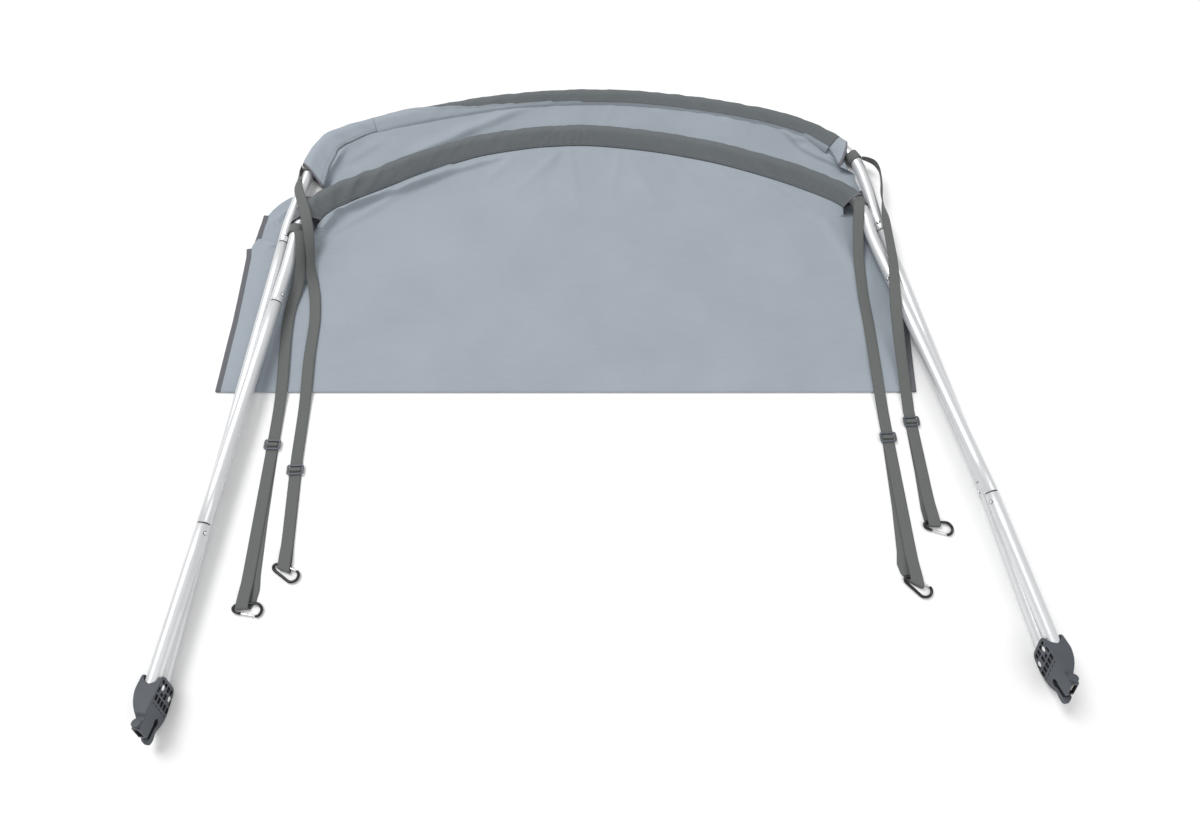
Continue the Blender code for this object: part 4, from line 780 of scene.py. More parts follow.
FINISH_MAKERS = {
    "canopy": lambda c: woven_cloth("canopy_cloth", c.canopy, c.thread),
    "sleeve": lambda c: woven_cloth("sleeve_cloth", c.sleeve, c.thread, 0.05, 0.8),
    "hem": lambda c: woven_tape("hem_tape", c.hem, 0.0009),
    "binding": lambda c: woven_tape("edge_tape", c.binding),
    "thread": lambda c: woven_tape("sewing_thread", c.thread_colour, 0.0005),
    "webbing": lambda c: webbing_finish("strap_webbing", c.webbing),
    "tube": lambda c: drawn_aluminium("satin_tube", c.tube),
    "fitting": lambda c: moulded_plastic("moulded_fitting", c.fitting),
    # shadow: near-black rings, painted shade in the tube joints' grooves and round the snap buttons' holes
    "shadow": lambda c: moulded_plastic("painted_shade_rings", times(c.fitting, 0.25), 0.7),
    # recess: darker plastic, painted shade on the housing's cut slot, cavity, latch recess, pockets and
    # grooves, and in the knob's groove
    "recess": lambda c: moulded_plastic("fitting_recess_painted_shade", times(c.fitting, 0.30), 0.8),
    "slider": lambda c: moulded_plastic("moulded_slider", times(c.fitting, 1.4), 0.45),
    "rod": lambda c: coated_rod("coated_rod", c.rod),
    "steel": lambda c: polished_steel("polished_steel", c.steel),
    "brass": lambda c: polished_steel("catch_metal", c.catch),
    "floor": lambda c: floor_paper("pale_floor", c.floor),
}
made_finishes = {}


def finish(name):
    if name not in made_finishes:
        made_finishes[name] = FINISH_MAKERS[name](bpy.context.scene.bimini_finishes)
    return made_finishes[name]


# ------------------------------------------------------------------ bows

def tube_lengths(bow):
    """Each tube of a bow as its name, its CAD node, its path, and whether it starts at a joint."""
    rows = BOWS[bow]
    yield f"{bow}_arch_tube", f"bow_{bow}_arch", ARCH[bow], True
    for side in SIDES:
        foot, low, top = (mm(rows[f"{place}_{side}"]) for place in ("foot", "low", "top"))
        up = (low - foot).normalized()
        yield f"{bow}_middle_tube_{side}", f"bow_{bow}_mid_{side}", Path([low, top]), True
        yield (f"{bow}_lower_tube_{side}", f"bow_{bow}_lower_{side}",
               Path([foot - up * FOOT_END, low - up * JOINT_HALF]), False)


def tube_mesh(path, joint_start, groove, sides=36):
    """A tube with broken edges, and a ring in the groove at each joint, coloured near black as painted shade.
    """
    stops = path.steps(0.0, path.length, ARCH_STEP if len(path.points) > 2 else STRAIGHT_STEP)
    edge = [(groove, TUBE_R - EDGE_BREAK), (groove + EDGE_BREAK, TUBE_R)]
    rows = edge if joint_start else [(0.0, TUBE_R)]
    rows = rows + [(s, TUBE_R) for s in stops if EDGE_CLEAR < s < path.length - EDGE_CLEAR]
    rows += [(path.length - d, r) for d, r in reversed(edge)]
    made = [skin("tube", [ring(path.place(s), path.heading(s), r, sides) for s, r in rows],
                 loop=True, ends=True)]
    for s in (0.0, path.length) if joint_start else (path.length,):
        shade_ring = [(-SHADE_RING_HALF, SHADE_RING_R), (SHADE_RING_HALF, SHADE_RING_R)]
        # The ring takes material 1, the near-black painted shade.
        made.append(numbered(turned(path.place(s), path.heading(s), shade_ring, sides), 1))
    return joined("tube", made)


def build_bows(sizes):
    for bow in BOWS:
        for name, node, path, joint_start in tube_lengths(bow):
            mesh = tube_mesh(path, joint_start, sizes.joint_groove / 2)
            put(name, mesh, [finish("tube"), finish("shadow")], [node], sharp=50.0)


def build_buttons(sizes):
    """Domed snap buttons, each in a near-black ring painted as the shade of its hole."""
    for bow in BOWS:
        for side in SIDES:
            for level in ("low", "top"):
                centre, out = button_frame(bow, side, level)
                where = f"{bow}_{level}_{side}"
                put(f"snap_button_{where}", turned(centre, out, BUTTON_DOME, 24), [finish("steel")],
                    [f"button_{where}"], f"button_{where}", 60.0)
                # The ring is painted shade round the button's hole.
                put(f"button_hole_shade_{where}", turned(centre, out, BUTTON_HOLE_SHADE, 24), [finish("shadow")])


# ------------------------------------------------------------------ sleeves

def sleeve_outline(seam_in, seam_up, slack, bulge, steps=26, flat=7):
    """Outline of a sleeve across its tube: inward, up, and how near the sewn edge, from 0 to 1."""
    radius = SLEEVE_R + slack
    upper, lower = ((seam_in, seam_up + half) for half in (SEAM_HALF, -SEAM_HALF))
    top, bottom = (math.atan2(y, x) + sign * math.acos(min(1.0, radius / math.hypot(x, y)))
                   for sign, (x, y) in ((1, upper), (-1, lower)))
    bottom += 2 * math.pi
    arc = []
    for angle in (top + (bottom - top) * i / steps for i in range(steps + 1)):
        swell = 1 + bulge / radius if math.cos(angle) < 0 else 1.0
        arc.append((radius * math.cos(angle) * swell, radius * math.sin(angle), 0.0))
    over, under = ([(a + (b - a) * i / flat, c + (d - c) * i / flat) for i in range(flat + 1)]
                   for (a, c), (b, d) in ((upper, arc[0][:2]), (arc[-1][:2], lower)))
    return ([(x, y, 1 - i / flat) for i, (x, y) in enumerate(over[:-1])] + arc
            + [(x, y, i / flat) for i, (x, y) in enumerate(under)][1:])


def sleeve_wrinkle(name, s, share, point, grip):
    """How far a sleeve's cloth stands out at a place: soft rumples, and gathers by the sewn edge."""
    rumple = noise.noise(Vector((s * 26.0, point[1] * 60.0, point[0] * 25.0 + 3.0))) * RUMPLE
    gather = math.sin(s * 460.0 + 2.5 * math.sin(s * 37.0)) * GATHER * grip * (1 - grip) * 4
    lean = s + 1.6 * point[0] * (1 if share < 0.5 else -1)
    streak = (1 - abs(noise.noise(Vector((lean * 24.0, 7.0, point[1] * 22.0)))) * 2.6) * STREAK
    pull = (1 - abs(noise.noise(Vector((lean * 52.0, 3.0, point[1] * 30.0)))) * 2.6) * PULL
    if name == "sleeve_near":
        ends = bell(share, 0.16) + 0.7 * bell(1 - share, 0.12)
        middle = bell(share - 0.46, 0.05) + bell(share - 0.53, 0.04)
        return rumple + gather * (1 + 2.0 * ends + 2.5 * middle) + streak * (0.45 + 1.3 * ends) + pull
    if name == "sleeve_far":
        return rumple + gather + streak * (0.3 + 0.9 * share) + pull * 0.5
    crease = bell(share - 0.52, 0.10) * CREASE if name == "cuff_left" else 0.0
    return rumple + gather * 0.6 + streak * 0.6 + crease


def sleeve_span(name):
    """A sleeve's arch, and where along it the sleeve starts and ends."""
    path = ARCH[SLEEVES[name]["bow"]]
    return path, *(share * path.length for share in SLEEVES[name]["span"])


def sleeve_rows(name, step, wrinkled=True):
    """Rows of points round a sleeve, from mouth to mouth, and their lengths along it."""
    spec = SLEEVES[name]
    path, start, end = sleeve_span(name)
    reach = min(MOUTH_FADE, end - start)
    stops = path.steps(start, end, step)
    if any(spec["hems"]):
        stops = sorted({*stops, *(start + d for d in HEM_ROWS), *(end - d for d in HEM_ROWS)})
    rows = []
    for s in stops:
        share = (s - start) / (end - start)
        values = [v * MM for v in read_table(spec["rows"], share, True)]
        lean = (spec["mouth"][0] * max(0.0, 1 - (s - start) / reach)
                + spec["mouth"][1] * max(0.0, 1 - (end - s) / reach))
        found = []
        for a, b, grip in sleeve_outline(*values):
            at = s + lean * a
            inward, rise = level_axes(path.heading(at))
            point = path.place(at) + inward * a + rise * b
            if wrinkled and grip < 1.0:
                away = (inward * a * (1 - grip) + rise * b).normalized()
                point += away * sleeve_wrinkle(name, at, share, (a, b), grip)
            point.z = max(point.z, SLEEVE_LOWEST)
            found.append(point)
        rows.append(found)
    return rows, [s - start for s in stops]


def seam_edge(name):
    """The sewn edge of a sleeve as a line of points, where the canopy's edge is laid into it."""
    points = []
    for row in sleeve_rows(name, 0.010, wrinkled=False)[0]:
        out = row[0] + row[-1] - row[5] - row[-6]
        out.z = 0.0
        points.append((row[0] + row[-1]) / 2 - out.normalized() * SEAM_LAP)
    return points


SEAM = {bow: Path([p for name in order for p in seam_edge(name)]) for bow, order in SLEEVE_ORDER.items()}


def build_sleeves(sizes):
    """Pole sleeves and cuffs, each with a hem in the hem tape finish at an open mouth."""
    for name, spec in SLEEVES.items():
        rows, along = sleeve_rows(name, sizes.sleeve_step)
        mesh = skin(name, rows, across=lengths(rows[0]), along=along)
        for face in mesh.polygons:
            s = along[min(face.vertices) // len(rows[0])]
            hemmed = (s < HEM_ROWS[1] + 0.0001, along[-1] - s < HEM_ROWS[2] + 0.0001)
            face.material_index = any(open_mouth and near for open_mouth, near in zip(spec["hems"], hemmed))
        piece = put(f"{name}_cloth", mesh, [finish(spec["cloth"]), finish("hem")],
                    [name], sharp=70.0)
        thicken(piece, SLEEVE_WALL, 1.0)
        path, start, end = sleeve_span(name)


# ------------------------------------------------------------------ canopy

def settle(seam_z, rest_z, run, length):
    """Height of cloth that sinks from its seam to where it rests, at a run out from the seam."""
    t = min(1.0, run / length)
    return rest_z + (seam_z - rest_z) * (1 - t) ** 2 * (1 + 0.6 * t)


def fold_height(layer, x, y):
    """Height of the soft folds at a place in mm, in metres."""
    total = 0.0
    for x0, y0, x1, y1, width, height, steep in FOLDS[layer]:
        dx, dy = x1 - x0, y1 - y0
        span = math.hypot(dx, dy)
        along = ((x - x0) * dx + (y - y0) * dy) / span
        aside = ((x - x0) * dy - (y - y0) * dx) / span
        if abs(aside) > 3 * width or along < -width or along > span + width:
            continue
        over = max(0.0, -along, along - span)
        aside = aside / steep if aside > 0 else aside
        taper = math.sin(math.pi * min(1.0, max(0.0, (along + width) / (span + 2 * width)))) ** 0.7
        total += FOLD_DEPTH * height * MM * bell(aside, width) * bell(over, width) * taper
    return total


def cloth_edges(layer, t, flat, point, seam_ends):
    """Moves a point of the canopy beside the fold, near a side edge, to that edge's own line."""
    for side, at, edge_seam in zip(SIDES, (t, 1.0 - t), seam_ends):
        near = max(0.0, 1.0 - at / EDGE_REACH)
        if near <= 0.0 or flat <= 0.0:
            continue
        edge_fold = mm(FOLD_LEFT if side == "left" else FOLD_RIGHT)
        edge_y = LEVEL[layer][side == "right"] * MM
        start = edge_seam.lerp(edge_fold, (edge_y - edge_seam.y) / (edge_fold.y - edge_seam.y))
        straight = start.lerp(edge_fold, flat)
        table = [(0.0, start.x / MM, start.y / MM)] + EDGES[f"{layer}_{side}"]
        x, y = (v * MM for v in read_table(table, flat))
        point.x += (x - straight.x) * near ** 1.5
        point.y += (y - straight.y) * near ** EDGE_GRIP[f"{layer}_{side}"]


def cloth_point(layer, t, row):
    """A point of the canopy's middle surface, at share t from its left edge.

    row runs from 0 at the seam to 1 at the level line and on to 2 at the fold."""
    lower = layer == "lower"
    rest = CLOTH_REST if lower else CLOTH_TOP
    path = SEAM["far" if lower else "near"]
    seam = path.place(path.length * t)
    fold = mm(FOLD_LEFT).lerp(mm(FOLD_RIGHT), t)
    left, right = LEVEL[layer]
    share = ((left + (right - left) * t) * MM - seam.y) / (fold.y - seam.y)
    level = seam.lerp(fold, share)
    first, last = path.place(0.0), path.place(path.length)
    level.x += 0.5 * (first.x + (last.x - first.x) * t - level.x) * min(1.0, 12 * t, 12 * (1 - t))
    flat = max(0.0, row - 1.0)
    point = seam.lerp(level, row) if row <= 1.0 else level.lerp(fold, flat)
    cloth_edges(layer, t, flat, point, (first, last))

    left_run, middle_run, right_run = (v * MM for v in SETTLE[layer])
    length = left_run + (middle_run - left_run) * min(1.0, t / SIDE_SHARE)
    if t > 1 - SIDE_SHARE:
        length = middle_run + (right_run - middle_run) * (t - 1 + SIDE_SHARE) / SIDE_SHARE
    run = math.hypot(point.x - seam.x, point.y - seam.y)
    point.z = settle(seam.z, rest, run, length)
    inside = math.sin(math.pi * min(1.0, max(0.0, t))) ** 0.5
    x, y = point.x / MM, point.y / MM
    calm = min(1.0, run / CALM_RUN)
    if lower:
        ripple = bell(run - 0.045, 0.022) * inside
        point.z += RIPPLE * ripple * (1 + math.sin(t * 44.0))
    else:
        tuck = bell(run - 0.058 + 0.20 * t, 0.010) if 0.05 < t < 0.26 else 0.0
        point.z += TUCK * tuck + PILLOW * inside * math.sin(math.pi * min(1.0, row / 2))
    pucker = bell(run - 0.016, 0.016) * math.sin(t * 250.0 + 3 * math.sin(t * 31.0))
    point.z += PUCKER * pucker * calm * inside
    point.z += fold_height(layer, x, y) * calm
    if lower and t > FLAP_FROM:
        reach = math.sin(math.pi / 2 * min(1.0, row / 0.45)) * max(0.0, 1 - flat / 0.08)
        point.x += FLAP_REACH * reach * ((t - FLAP_FROM) / (1 - FLAP_FROM)) ** 1.4
    drift = noise.noise(Vector((point.x * 6.0, point.y * 9.0, 2.0 if lower else 5.0)))
    fine = noise.noise(Vector((point.x * 24.0, point.y * 30.0, 9.0)))
    point.z += (DRIFT * drift + FINE * fine) * calm * min(1.0, max(0.0, 2 - row) * 14)
    point.z = max(point.z, rest if lower else rest - 0.0004)
    return point


def cloth_rows():
    """Every row of the folded sheet, from the far seam round the fold to the near seam."""
    rows = [k / SEAM_ROWS for k in range(SEAM_ROWS)]
    rows += [1.0 + 0.985 * (k / LEVEL_ROWS) ** 1.15 for k in range(LEVEL_ROWS + 1)]
    turn = [("turn", angle) for angle in TURN_ANGLES]
    return [("lower", row) for row in rows] + turn + [("upper", row) for row in reversed(rows)]


def row_point(kind, value, t):
    if kind != "turn":
        return cloth_point(kind, t, value)
    low, high = cloth_point("lower", t, 1.995), cloth_point("upper", t, 1.995)
    middle, half = (low.z + high.z) / 2, (high.z - low.z) / 2
    angle = math.radians(value)
    return Vector((low.x, low.y - half * (1.3 * math.cos(angle)), middle + half * math.sin(angle)))


def spread(columns):
    """Shares across the cloth, closer together near both side edges."""
    return [0.5 - 0.5 * math.cos(math.pi * k / columns) * (0.75 + 0.25 * abs(math.cos(math.pi * k / columns)))
            for k in range(columns + 1)]


def lap_rows(step, lift=LAP_LIFT):
    """Where the canopy's cloth laps over the far sleeve, from its free edge to the sewn edge."""
    spec = SLEEVES["sleeve_far"]
    path, start, end = sleeve_span("sleeve_far")
    rows, stops = [], path.steps(start, end, step)
    for s in stops:
        share = (s - start) / (end - start)
        outline = sleeve_outline(*[v * MM for v in read_table(spec["rows"], share, True)], steps=60)
        free = read_table(LAP, share, True)[0] * MM
        x, y, grip = outline[0]
        points = [(x + out, y - down, grip) for out, down in LAP_SEWN]
        for (x, y, grip), (next_x, _, _) in zip(outline, outline[1:]):
            points.append((x, y, grip))
            if next_x < free or next_x > x:
                break
        line = Path([(x, y, grip * MM) for x, y, grip in points])
        inward, rise = level_axes(path.heading(s))
        over = lift + (LAP_WALL - LAP_DIP * max(0.0, 1 - share / LAP_DIP_SHARE))
        found = []
        for k in range(LAP_COLUMNS + 1):
            x, y, grip = line.place(line.length * (1 - k / LAP_COLUMNS))
            away = (Vector((x, y, 0.0)) if x < 0.004 else Vector((0.25, 1.0, 0.0))).normalized()
            stand = over + sleeve_wrinkle("sleeve_far", s, share, (x, y), min(1.0, grip / MM))
            found.append(path.place(s) + inward * x + rise * y + (inward * away.x + rise * away.y) * stand)
        rows.append(found)
    return rows, [s - start for s in stops]


def build_canopy(sizes):
    """The one sheet of cloth: lower layer, fold and upper layer, sewn to the sleeves at both ends."""
    columns = spread(sizes.canopy_columns)
    grid = [[row_point(kind, value, t) for t in columns] for kind, value in cloth_rows()]
    along = lengths([row[sizes.canopy_columns // 2] for row in grid])
    mesh = skin("canopy", grid, across=[sizes.canopy_width * t for t in columns], along=along)
    rows, stations = lap_rows(sizes.sleeve_step)
    lap = skin("lap", rows, across=[2 * MM * k for k in range(len(rows[0]))], along=stations)
    piece = put("canopy_cloth", joined("canopy", [mesh, lap]), [finish("canopy")], ["canopy_panel"],
                sharp=70.0)
    thicken(piece, CANOPY_WALL, 0.0)


# Share of the width out from the cloth, and share of the thickness up.
TAPE_SECTION = [(0.00, 0.0), (0.04, 0.42), (0.3, 0.5), (0.7, 0.5), (0.95, 0.42), (1.0, 0.0), (0.95, -0.42),
                (0.7, -0.5), (0.3, -0.5), (0.04, -0.42)]


def tape_rows(inner, outs, width, thick):
    """Rows round a tape that lies along inner points, out to its width."""
    return [[point + out * (width * across) + UP * (thick * height) for across, height in TAPE_SECTION]
            for point, out in zip(inner, outs)]


def build_bindings(sizes):
    """Binding tape along both side edges."""
    for side, edge, outward_x in (("left", 0.0, -1.0), ("right", 1.0, 1.0)):
        rows = [(kind, value) for kind, value in cloth_rows()
                if kind == "turn" or value >= 1.0 + BOUND_FROM[f"{kind}_{side}"] - 0.001]
        inner = [row_point(kind, value, edge) for kind, value in rows]
        outs = []
        for k in range(len(inner)):
            way = inner[min(k + 1, len(inner) - 1)] - inner[max(k - 1, 0)]
            out = Vector((outward_x, 0.0, 0.0))
            if rows[k][0] != "turn" and abs(way.y) > 0.0004:
                square = Vector((way.y, -way.x, 0.0)).normalized()
                out = square if square.dot(out) > 0 else -square
            outs.append(out)
        inner = [point - out * TAPE_GRIP for point, out in zip(inner, outs)]
        for point in inner:
            point.z = max(point.z, TAPE_LOWEST)
        around = tape_rows(inner, outs, sizes.binding_width + TAPE_GRIP, TAPE_THICK)
        mesh = skin("binding", around, loop=True, ends=True,
                    across=[MM * k for k in range(len(TAPE_SECTION))], along=lengths(inner))
        put(f"edge_tape_{side}", mesh, [finish("binding")], [f"edge_binding_{side}"], sharp=60.0)


def stitch_mesh(points, normal, pitch, radius):
    """A row of sewn stitches: short pointed threads lying on the cloth."""
    path = Path(points)
    reach = 0.36 * pitch
    verts, faces = [], []
    for s in ((k + 0.5) * pitch for k in range(int(path.length / pitch))):
        centre, heading = path.place(s), path.heading(s, 0.003)
        rise = (normal - heading * normal.dot(heading)).normalized() * radius
        side = heading.cross(rise)
        first = len(verts)
        verts += [centre + way for way in (-heading * reach, heading * reach, side, rise, -side, -rise)]
        for i in range(4):
            a, b = first + 2 + i, first + 2 + (i + 1) % 4
            faces += [(first, b, a), (first + 1, a, b)]
    mesh = bpy.data.meshes.new("stitches")
    mesh.from_pydata([tuple(v) for v in verts], [], faces)
    return mesh


def build_stitching(sizes):
    """Double rows of stitches along the sewn edge of each sleeve, on its upper face."""
    for name in SLEEVES:
        rows = lap_rows(0.006, 0.0017)[0] if name == "sleeve_far" else sleeve_rows(name, 0.006)[0]
        meshes = []
        for column, back in ((0, 0.45), (1, 0.9)):
            points = [row[column].lerp(row[column + 1], back) + UP * 0.0004 for row in rows]
            meshes.append(stitch_mesh(points, UP, sizes.stitch_pitch, sizes.thread_size))
        put(f"{name}_stitches", joined("stitches", meshes), [finish("thread")], sharp=80.0)


# ------------------------------------------------------------------ straps

def strap_line(name):
    """Slider and hook of a strap, the way between them, and the way across."""
    rows = STRAPS[name]
    slider, hook = Vector((*rows["slider"], 0)) * MM, Vector((*rows["hook"], 0)) * MM
    line = (hook - slider).normalized()
    return slider, hook, line, UP.cross(line).normalized()


def hook_skew(name):
    """How far the strap's way across leans along it, so that the strap lies flat on a turned hook."""
    _, _, line, across = strap_line(name)
    turn = math.radians(HOOKS[name]["turn"])
    bar = Vector((math.cos(turn), math.sin(turn), 0))
    return bar.dot(line) / bar.dot(across)


def strap_top(name):
    """Rows of (centre, way across, heading) from the loop on the bow to the doubled strap."""
    slider, _, line, _ = strap_line(name)
    before = slider - line * (SLIDER_WIDE / 2 + 0.012)
    stations = [(x * MM, y * MM, z * MM, roll) for x, y, z, roll in STRAPS[name]["rows"]]
    dense = smooth_path(stations + [(before.x, before.y, DOUBLE_Z, 0.0)], 10)
    path = Path([p[:3] for p in dense])
    rolls = [(at, p[3]) for at, p in zip(path.at, dense)]
    rows = []
    for s in path.steps(0.0, path.length, STRAP_STEP):
        heading = path.heading(s)
        side = UP.cross(heading).normalized()
        rise = heading.cross(side).normalized()
        roll = math.radians(read_table(rolls, s, True)[0])
        rows.append((path.place(s), math.cos(roll) * side + math.sin(roll) * rise, heading))
    return rows


def strap_tail(name):
    """Rows through the slider, down, round the hook's bar and back up to the slider."""
    slider, hook, line, across = strap_line(name)
    skew, aside = hook_skew(name), STRAPS[name]["aside"]
    reach = (hook - slider).length
    half, mid = SLIDER_WIDE / 2, SLIDER_MID / 2
    over = SLIDER_Z + SLIDER_THICK / 2 + WEB_CLEAR + WEB_THICK / 2
    turn_r = (HOOK_Z + HOOK_ROD + WEB_CLEAR + WEB_THICK / 2 - RETURN_Z) / 2
    middle = RETURN_Z + turn_r
    top = middle + turn_r
    bottom = reach + LOOP_REACH - turn_r
    lift = reach - LOOP_ROOM
    # along the line, height, how much it leans to the hook, and how far the return lies aside
    profile = [(s, z, 0, 0) for s, z in (
        (-half - 0.004, DOUBLE_Z), (-half + 0.003, DOUBLE_Z), (-half + 0.0052, DOUBLE_Z + 0.0004),
        (-mid - 0.0006, over), (mid + 0.0006, over), (half - 0.0052, DOUBLE_Z + 0.0004),
        (half - 0.003, DOUBLE_Z), (half + 0.006, DOUBLE_Z))]
    profile += [(reach * k / 12, DOUBLE_Z, 0, 0) for k in range(1, 11)
                if half + 0.012 < reach * k / 12 < lift - 0.052]
    profile += [(lift - 0.045, DOUBLE_Z, 0, 0), (lift - 0.022, DOUBLE_Z + 0.0005, 0.5, 0),
                (lift, top - 0.0008, 1, 0), (lift + 0.010, top, 1, 0), (bottom, top, 1, 0)]
    profile += [(bottom + turn_r * math.sin(math.radians(a)), middle + turn_r * math.cos(math.radians(a)), 1,
                 a / 180 * 0.35) for a in range(15, 180, 15)]
    profile += [(s, RETURN_Z, lean, way) for s, lean, way in (
        (bottom, 1, 0.35), (lift + 0.008, 1, 0.8), (lift - 0.010, 0.6, 1.0), (lift - 0.035, 0, 0.75),
        (reach * 0.5, 0, 0.35), (half - 0.004, 0, 0))]
    flat = [slider + line * s + UP * z for s, z, _, _ in profile]
    return [(point + across * (aside * way), across + line * (skew * lean), (after - before).normalized())
            for point, before, after, (_, _, lean, way)
            in zip(flat, flat[:1] + flat, flat[1:] + flat[-1:], profile)]


# Share of half the width across, and share of the thickness up.
WEB_SECTION = [(-1.0, 0.0), (-0.97, -0.36), (-0.90, -0.5), (-0.5, -0.5), (0.0, -0.5), (0.5, -0.5),
               (0.90, -0.5), (0.97, -0.36), (1.0, 0.0), (0.97, 0.36), (0.90, 0.5), (0.5, 0.5), (0.0, 0.5),
               (-0.5, 0.5), (-0.90, 0.5), (-0.97, 0.36)]
WEB_SPOTS = [WEB_WIDTH / 2 * (1 + a) for a, _ in WEB_SECTION]


def web_mesh(rows):
    """A strap of webbing with soft edges along rows of (centre, way across it, heading), and its length."""
    around = []
    for centre, across, heading in rows:
        rise = across.cross(heading).normalized()
        around.append([centre + across * (WEB_WIDTH / 2 * a) + rise * (WEB_THICK * b)
                       for a, b in WEB_SECTION])
    along = lengths([centre for centre, _, _ in rows])
    return skin("webbing", around, loop=True, ends=True, across=WEB_SPOTS, along=along), along[-1]


def loop_mesh(name, parts=48):
    """The strap's loop round its tube."""
    rows = STRAPS[name]
    path = ARCH[rows["bow"]]
    s = rows["band"][0] * path.length + rows["band"][1]
    centre, heading = path.place(s), path.heading(s)
    side, rise = level_axes(heading)
    radius = BAND_R + BAND_THICK / 2
    around, along = [], []
    for angle in (2 * math.pi * k / parts for k in range(parts + 1)):
        out = math.cos(angle) * side + math.sin(angle) * rise
        around.append([centre + out * radius + heading * (WEB_WIDTH / 2 * a) + out * (BAND_THICK * 0.9 * b)
                       for a, b in WEB_SECTION])
        along.append(radius * angle)
    return skin("loop", around, loop=True, across=WEB_SPOTS, along=along)


def tack_marks(rows):
    """Two rows of stitches on both faces, where the strap is sewn to its loop."""
    meshes = []
    centre, across, heading = rows[2]
    for off in TACK_ROWS:
        for face in (1, -1):
            lift = across.cross(heading).normalized() * (WEB_THICK / 2) * face
            line = [centre + across * end + heading * off + lift for end in (-TACK_HALF, TACK_HALF)]
            meshes.append(stitch_mesh(line, lift, TACK_PITCH, TACK_THREAD))
    return meshes


def build_straps(sizes):
    for name in STRAPS:
        top = strap_top(name)
        mesh, length = web_mesh(top + strap_tail(name))
        piece = put(f"web_strap_{name}", mesh, [finish("webbing")], [f"strap_{name}"], sharp=55.0)
        put(f"web_loop_{name}", loop_mesh(name), [finish("webbing")], [f"strap_loop_{name}"],
            sharp=55.0)
        put(f"strap_tack_{name}", joined("tack", tack_marks(top)), [finish("thread")])


def build_sliders(sizes):
    """Three-bar sliders: a rounded frame, a middle bar and two slots."""
    half_x, half_y = SLIDER_LONG / 2, SLIDER_WIDE / 2
    slot_half = (half_y - SLIDER_BAR - SLIDER_MID / 2) / 2
    outlines = [rounded([(half_x, half_y), (-half_x, half_y), (-half_x, -half_y), (half_x, -half_y)],
                        SLIDER_CORNER, 7)]
    reach = half_x - SLIDER_BAR
    for middle in (-SLIDER_MID / 2 - slot_half, SLIDER_MID / 2 + slot_half):
        outlines.append(rounded([(reach, middle + slot_half), (reach, middle - slot_half),
                                 (-reach, middle - slot_half), (-reach, middle + slot_half)],
                                SLOT_CORNER, 3))
    for name in STRAPS:
        slider, _, line, across = strap_line(name)
        place = axes_at(slider + UP * SLIDER_Z, across, line, across.cross(line))
        body = plate("slider", outlines, -SLIDER_THICK / 2, SLIDER_THICK / 2, SLIDER_EDGE, place)
        put(f"strap_slider_{name}", body, [finish("slider")], [f"slider_{name}"], sharp=30.0)


# ------------------------------------------------------------------ snap hooks

def hook_matrix(name):
    """Hook axes: x along the bar under the strap, y from the hook's inside to the strap's side."""
    place = Matrix.Translation((Vector((*STRAPS[name]["hook"], 0)) * MM) + UP * HOOK_Z)
    return (place @ Matrix.Rotation(math.radians(HOOKS[name]["turn"]), 4, "Z")
            @ Matrix.Rotation(HOOK_TILT, 4, "X"))


def on_hook(name, point):
    """A point of the hook's outline in its own axes, from where the strap sits on it."""
    lead = HOOKS[name]["lead"]
    along, out = point
    if not HOOKS[name]["on_gate"]:
        return Vector((along - lead, BACK_BAR - out, 0)) * MM
    (x0, y0), (x1, y1) = GATE_LINE
    slope = math.atan2(y1 - y0, x1 - x0)
    here = Vector((lead, y0 + (lead - x0) * math.tan(slope), 0))
    return Matrix.Rotation(-slope, 3, "Z") @ ((Vector((along, out, 0)) - here) * MM)


def build_hooks(sizes):
    """Bent rods with a hinge at one end and a nose at the other, each with a sprung gate."""
    for name in HOOKS:
        place = hook_matrix(name)
        normal = (place.to_3x3() @ UP).normalized()
        path = Path(smooth_path([tuple(place @ on_hook(name, p)) for p in HOOK_SHAPE], 10))
        rows = []
        for s in path.steps(0.0, path.length, 0.0015):
            heading = path.heading(s, 0.001)
            side = heading.cross(normal).normalized()
            rod = HOOK_ROD * (0.82 if min(s, path.length - s) < 0.0012 else 1.0)
            ripple = 1 + 0.012 * math.sin(s * 2 * math.pi / RIPPLE_PITCH)
            rows.append([path.place(s) + rod * ripple * (math.cos(a) * side + math.sin(a) * normal)
                         for a in (2 * math.pi * i / 18 for i in range(18))])
        put(f"snap_hook_{name}", skin("rod", rows, loop=True, ends=True), [finish("rod")],
            [f"hook_{name}"], sharp=50.0)
        hinge, tip = (place @ on_hook(name, p) for p in GATE_LINE)
        way, reach = (tip - hinge).normalized(), (tip - hinge).length
        bar = turned(hinge, way, [(0.0, 0.0012), (0.0006, 0.0017), (0.003, GATE_ROD),
                                  (reach - 0.003, GATE_ROD), (reach - 0.0006, 0.0016), (reach, 0.0010)], 20)
        pin = turned(hinge + way * PIN_IN, normal, GATE_PIN, 14)
        catch = turned(tip - way * PIN_IN, normal, GATE_CATCH, 12)
        put(f"sprung_gate_{name}", joined("gate", [bar, pin, catch]), [finish("steel")],
            [f"gate_{name}"], f"gate_{name}", 45.0)


# ------------------------------------------------------------------ foot brackets

def bracket_matrix(side):
    """l along the bracket to the foot, c down across it, t outward."""
    foot, low = (mm(BOWS["near"][f"{place}_{side}"]) for place in ("foot", "low"))
    along = foot - low
    along.z = 0.0
    along.normalize()
    tilt = BRACKET_TILT[side]
    out = Vector((-along.y, along.x, 0.0))
    if (out.x < 0) != (side == "left"):
        out = -out
    return axes_at(foot, math.cos(tilt) * along + math.sin(tilt) * UP,
                   math.sin(tilt) * along - math.cos(tilt) * UP, out)


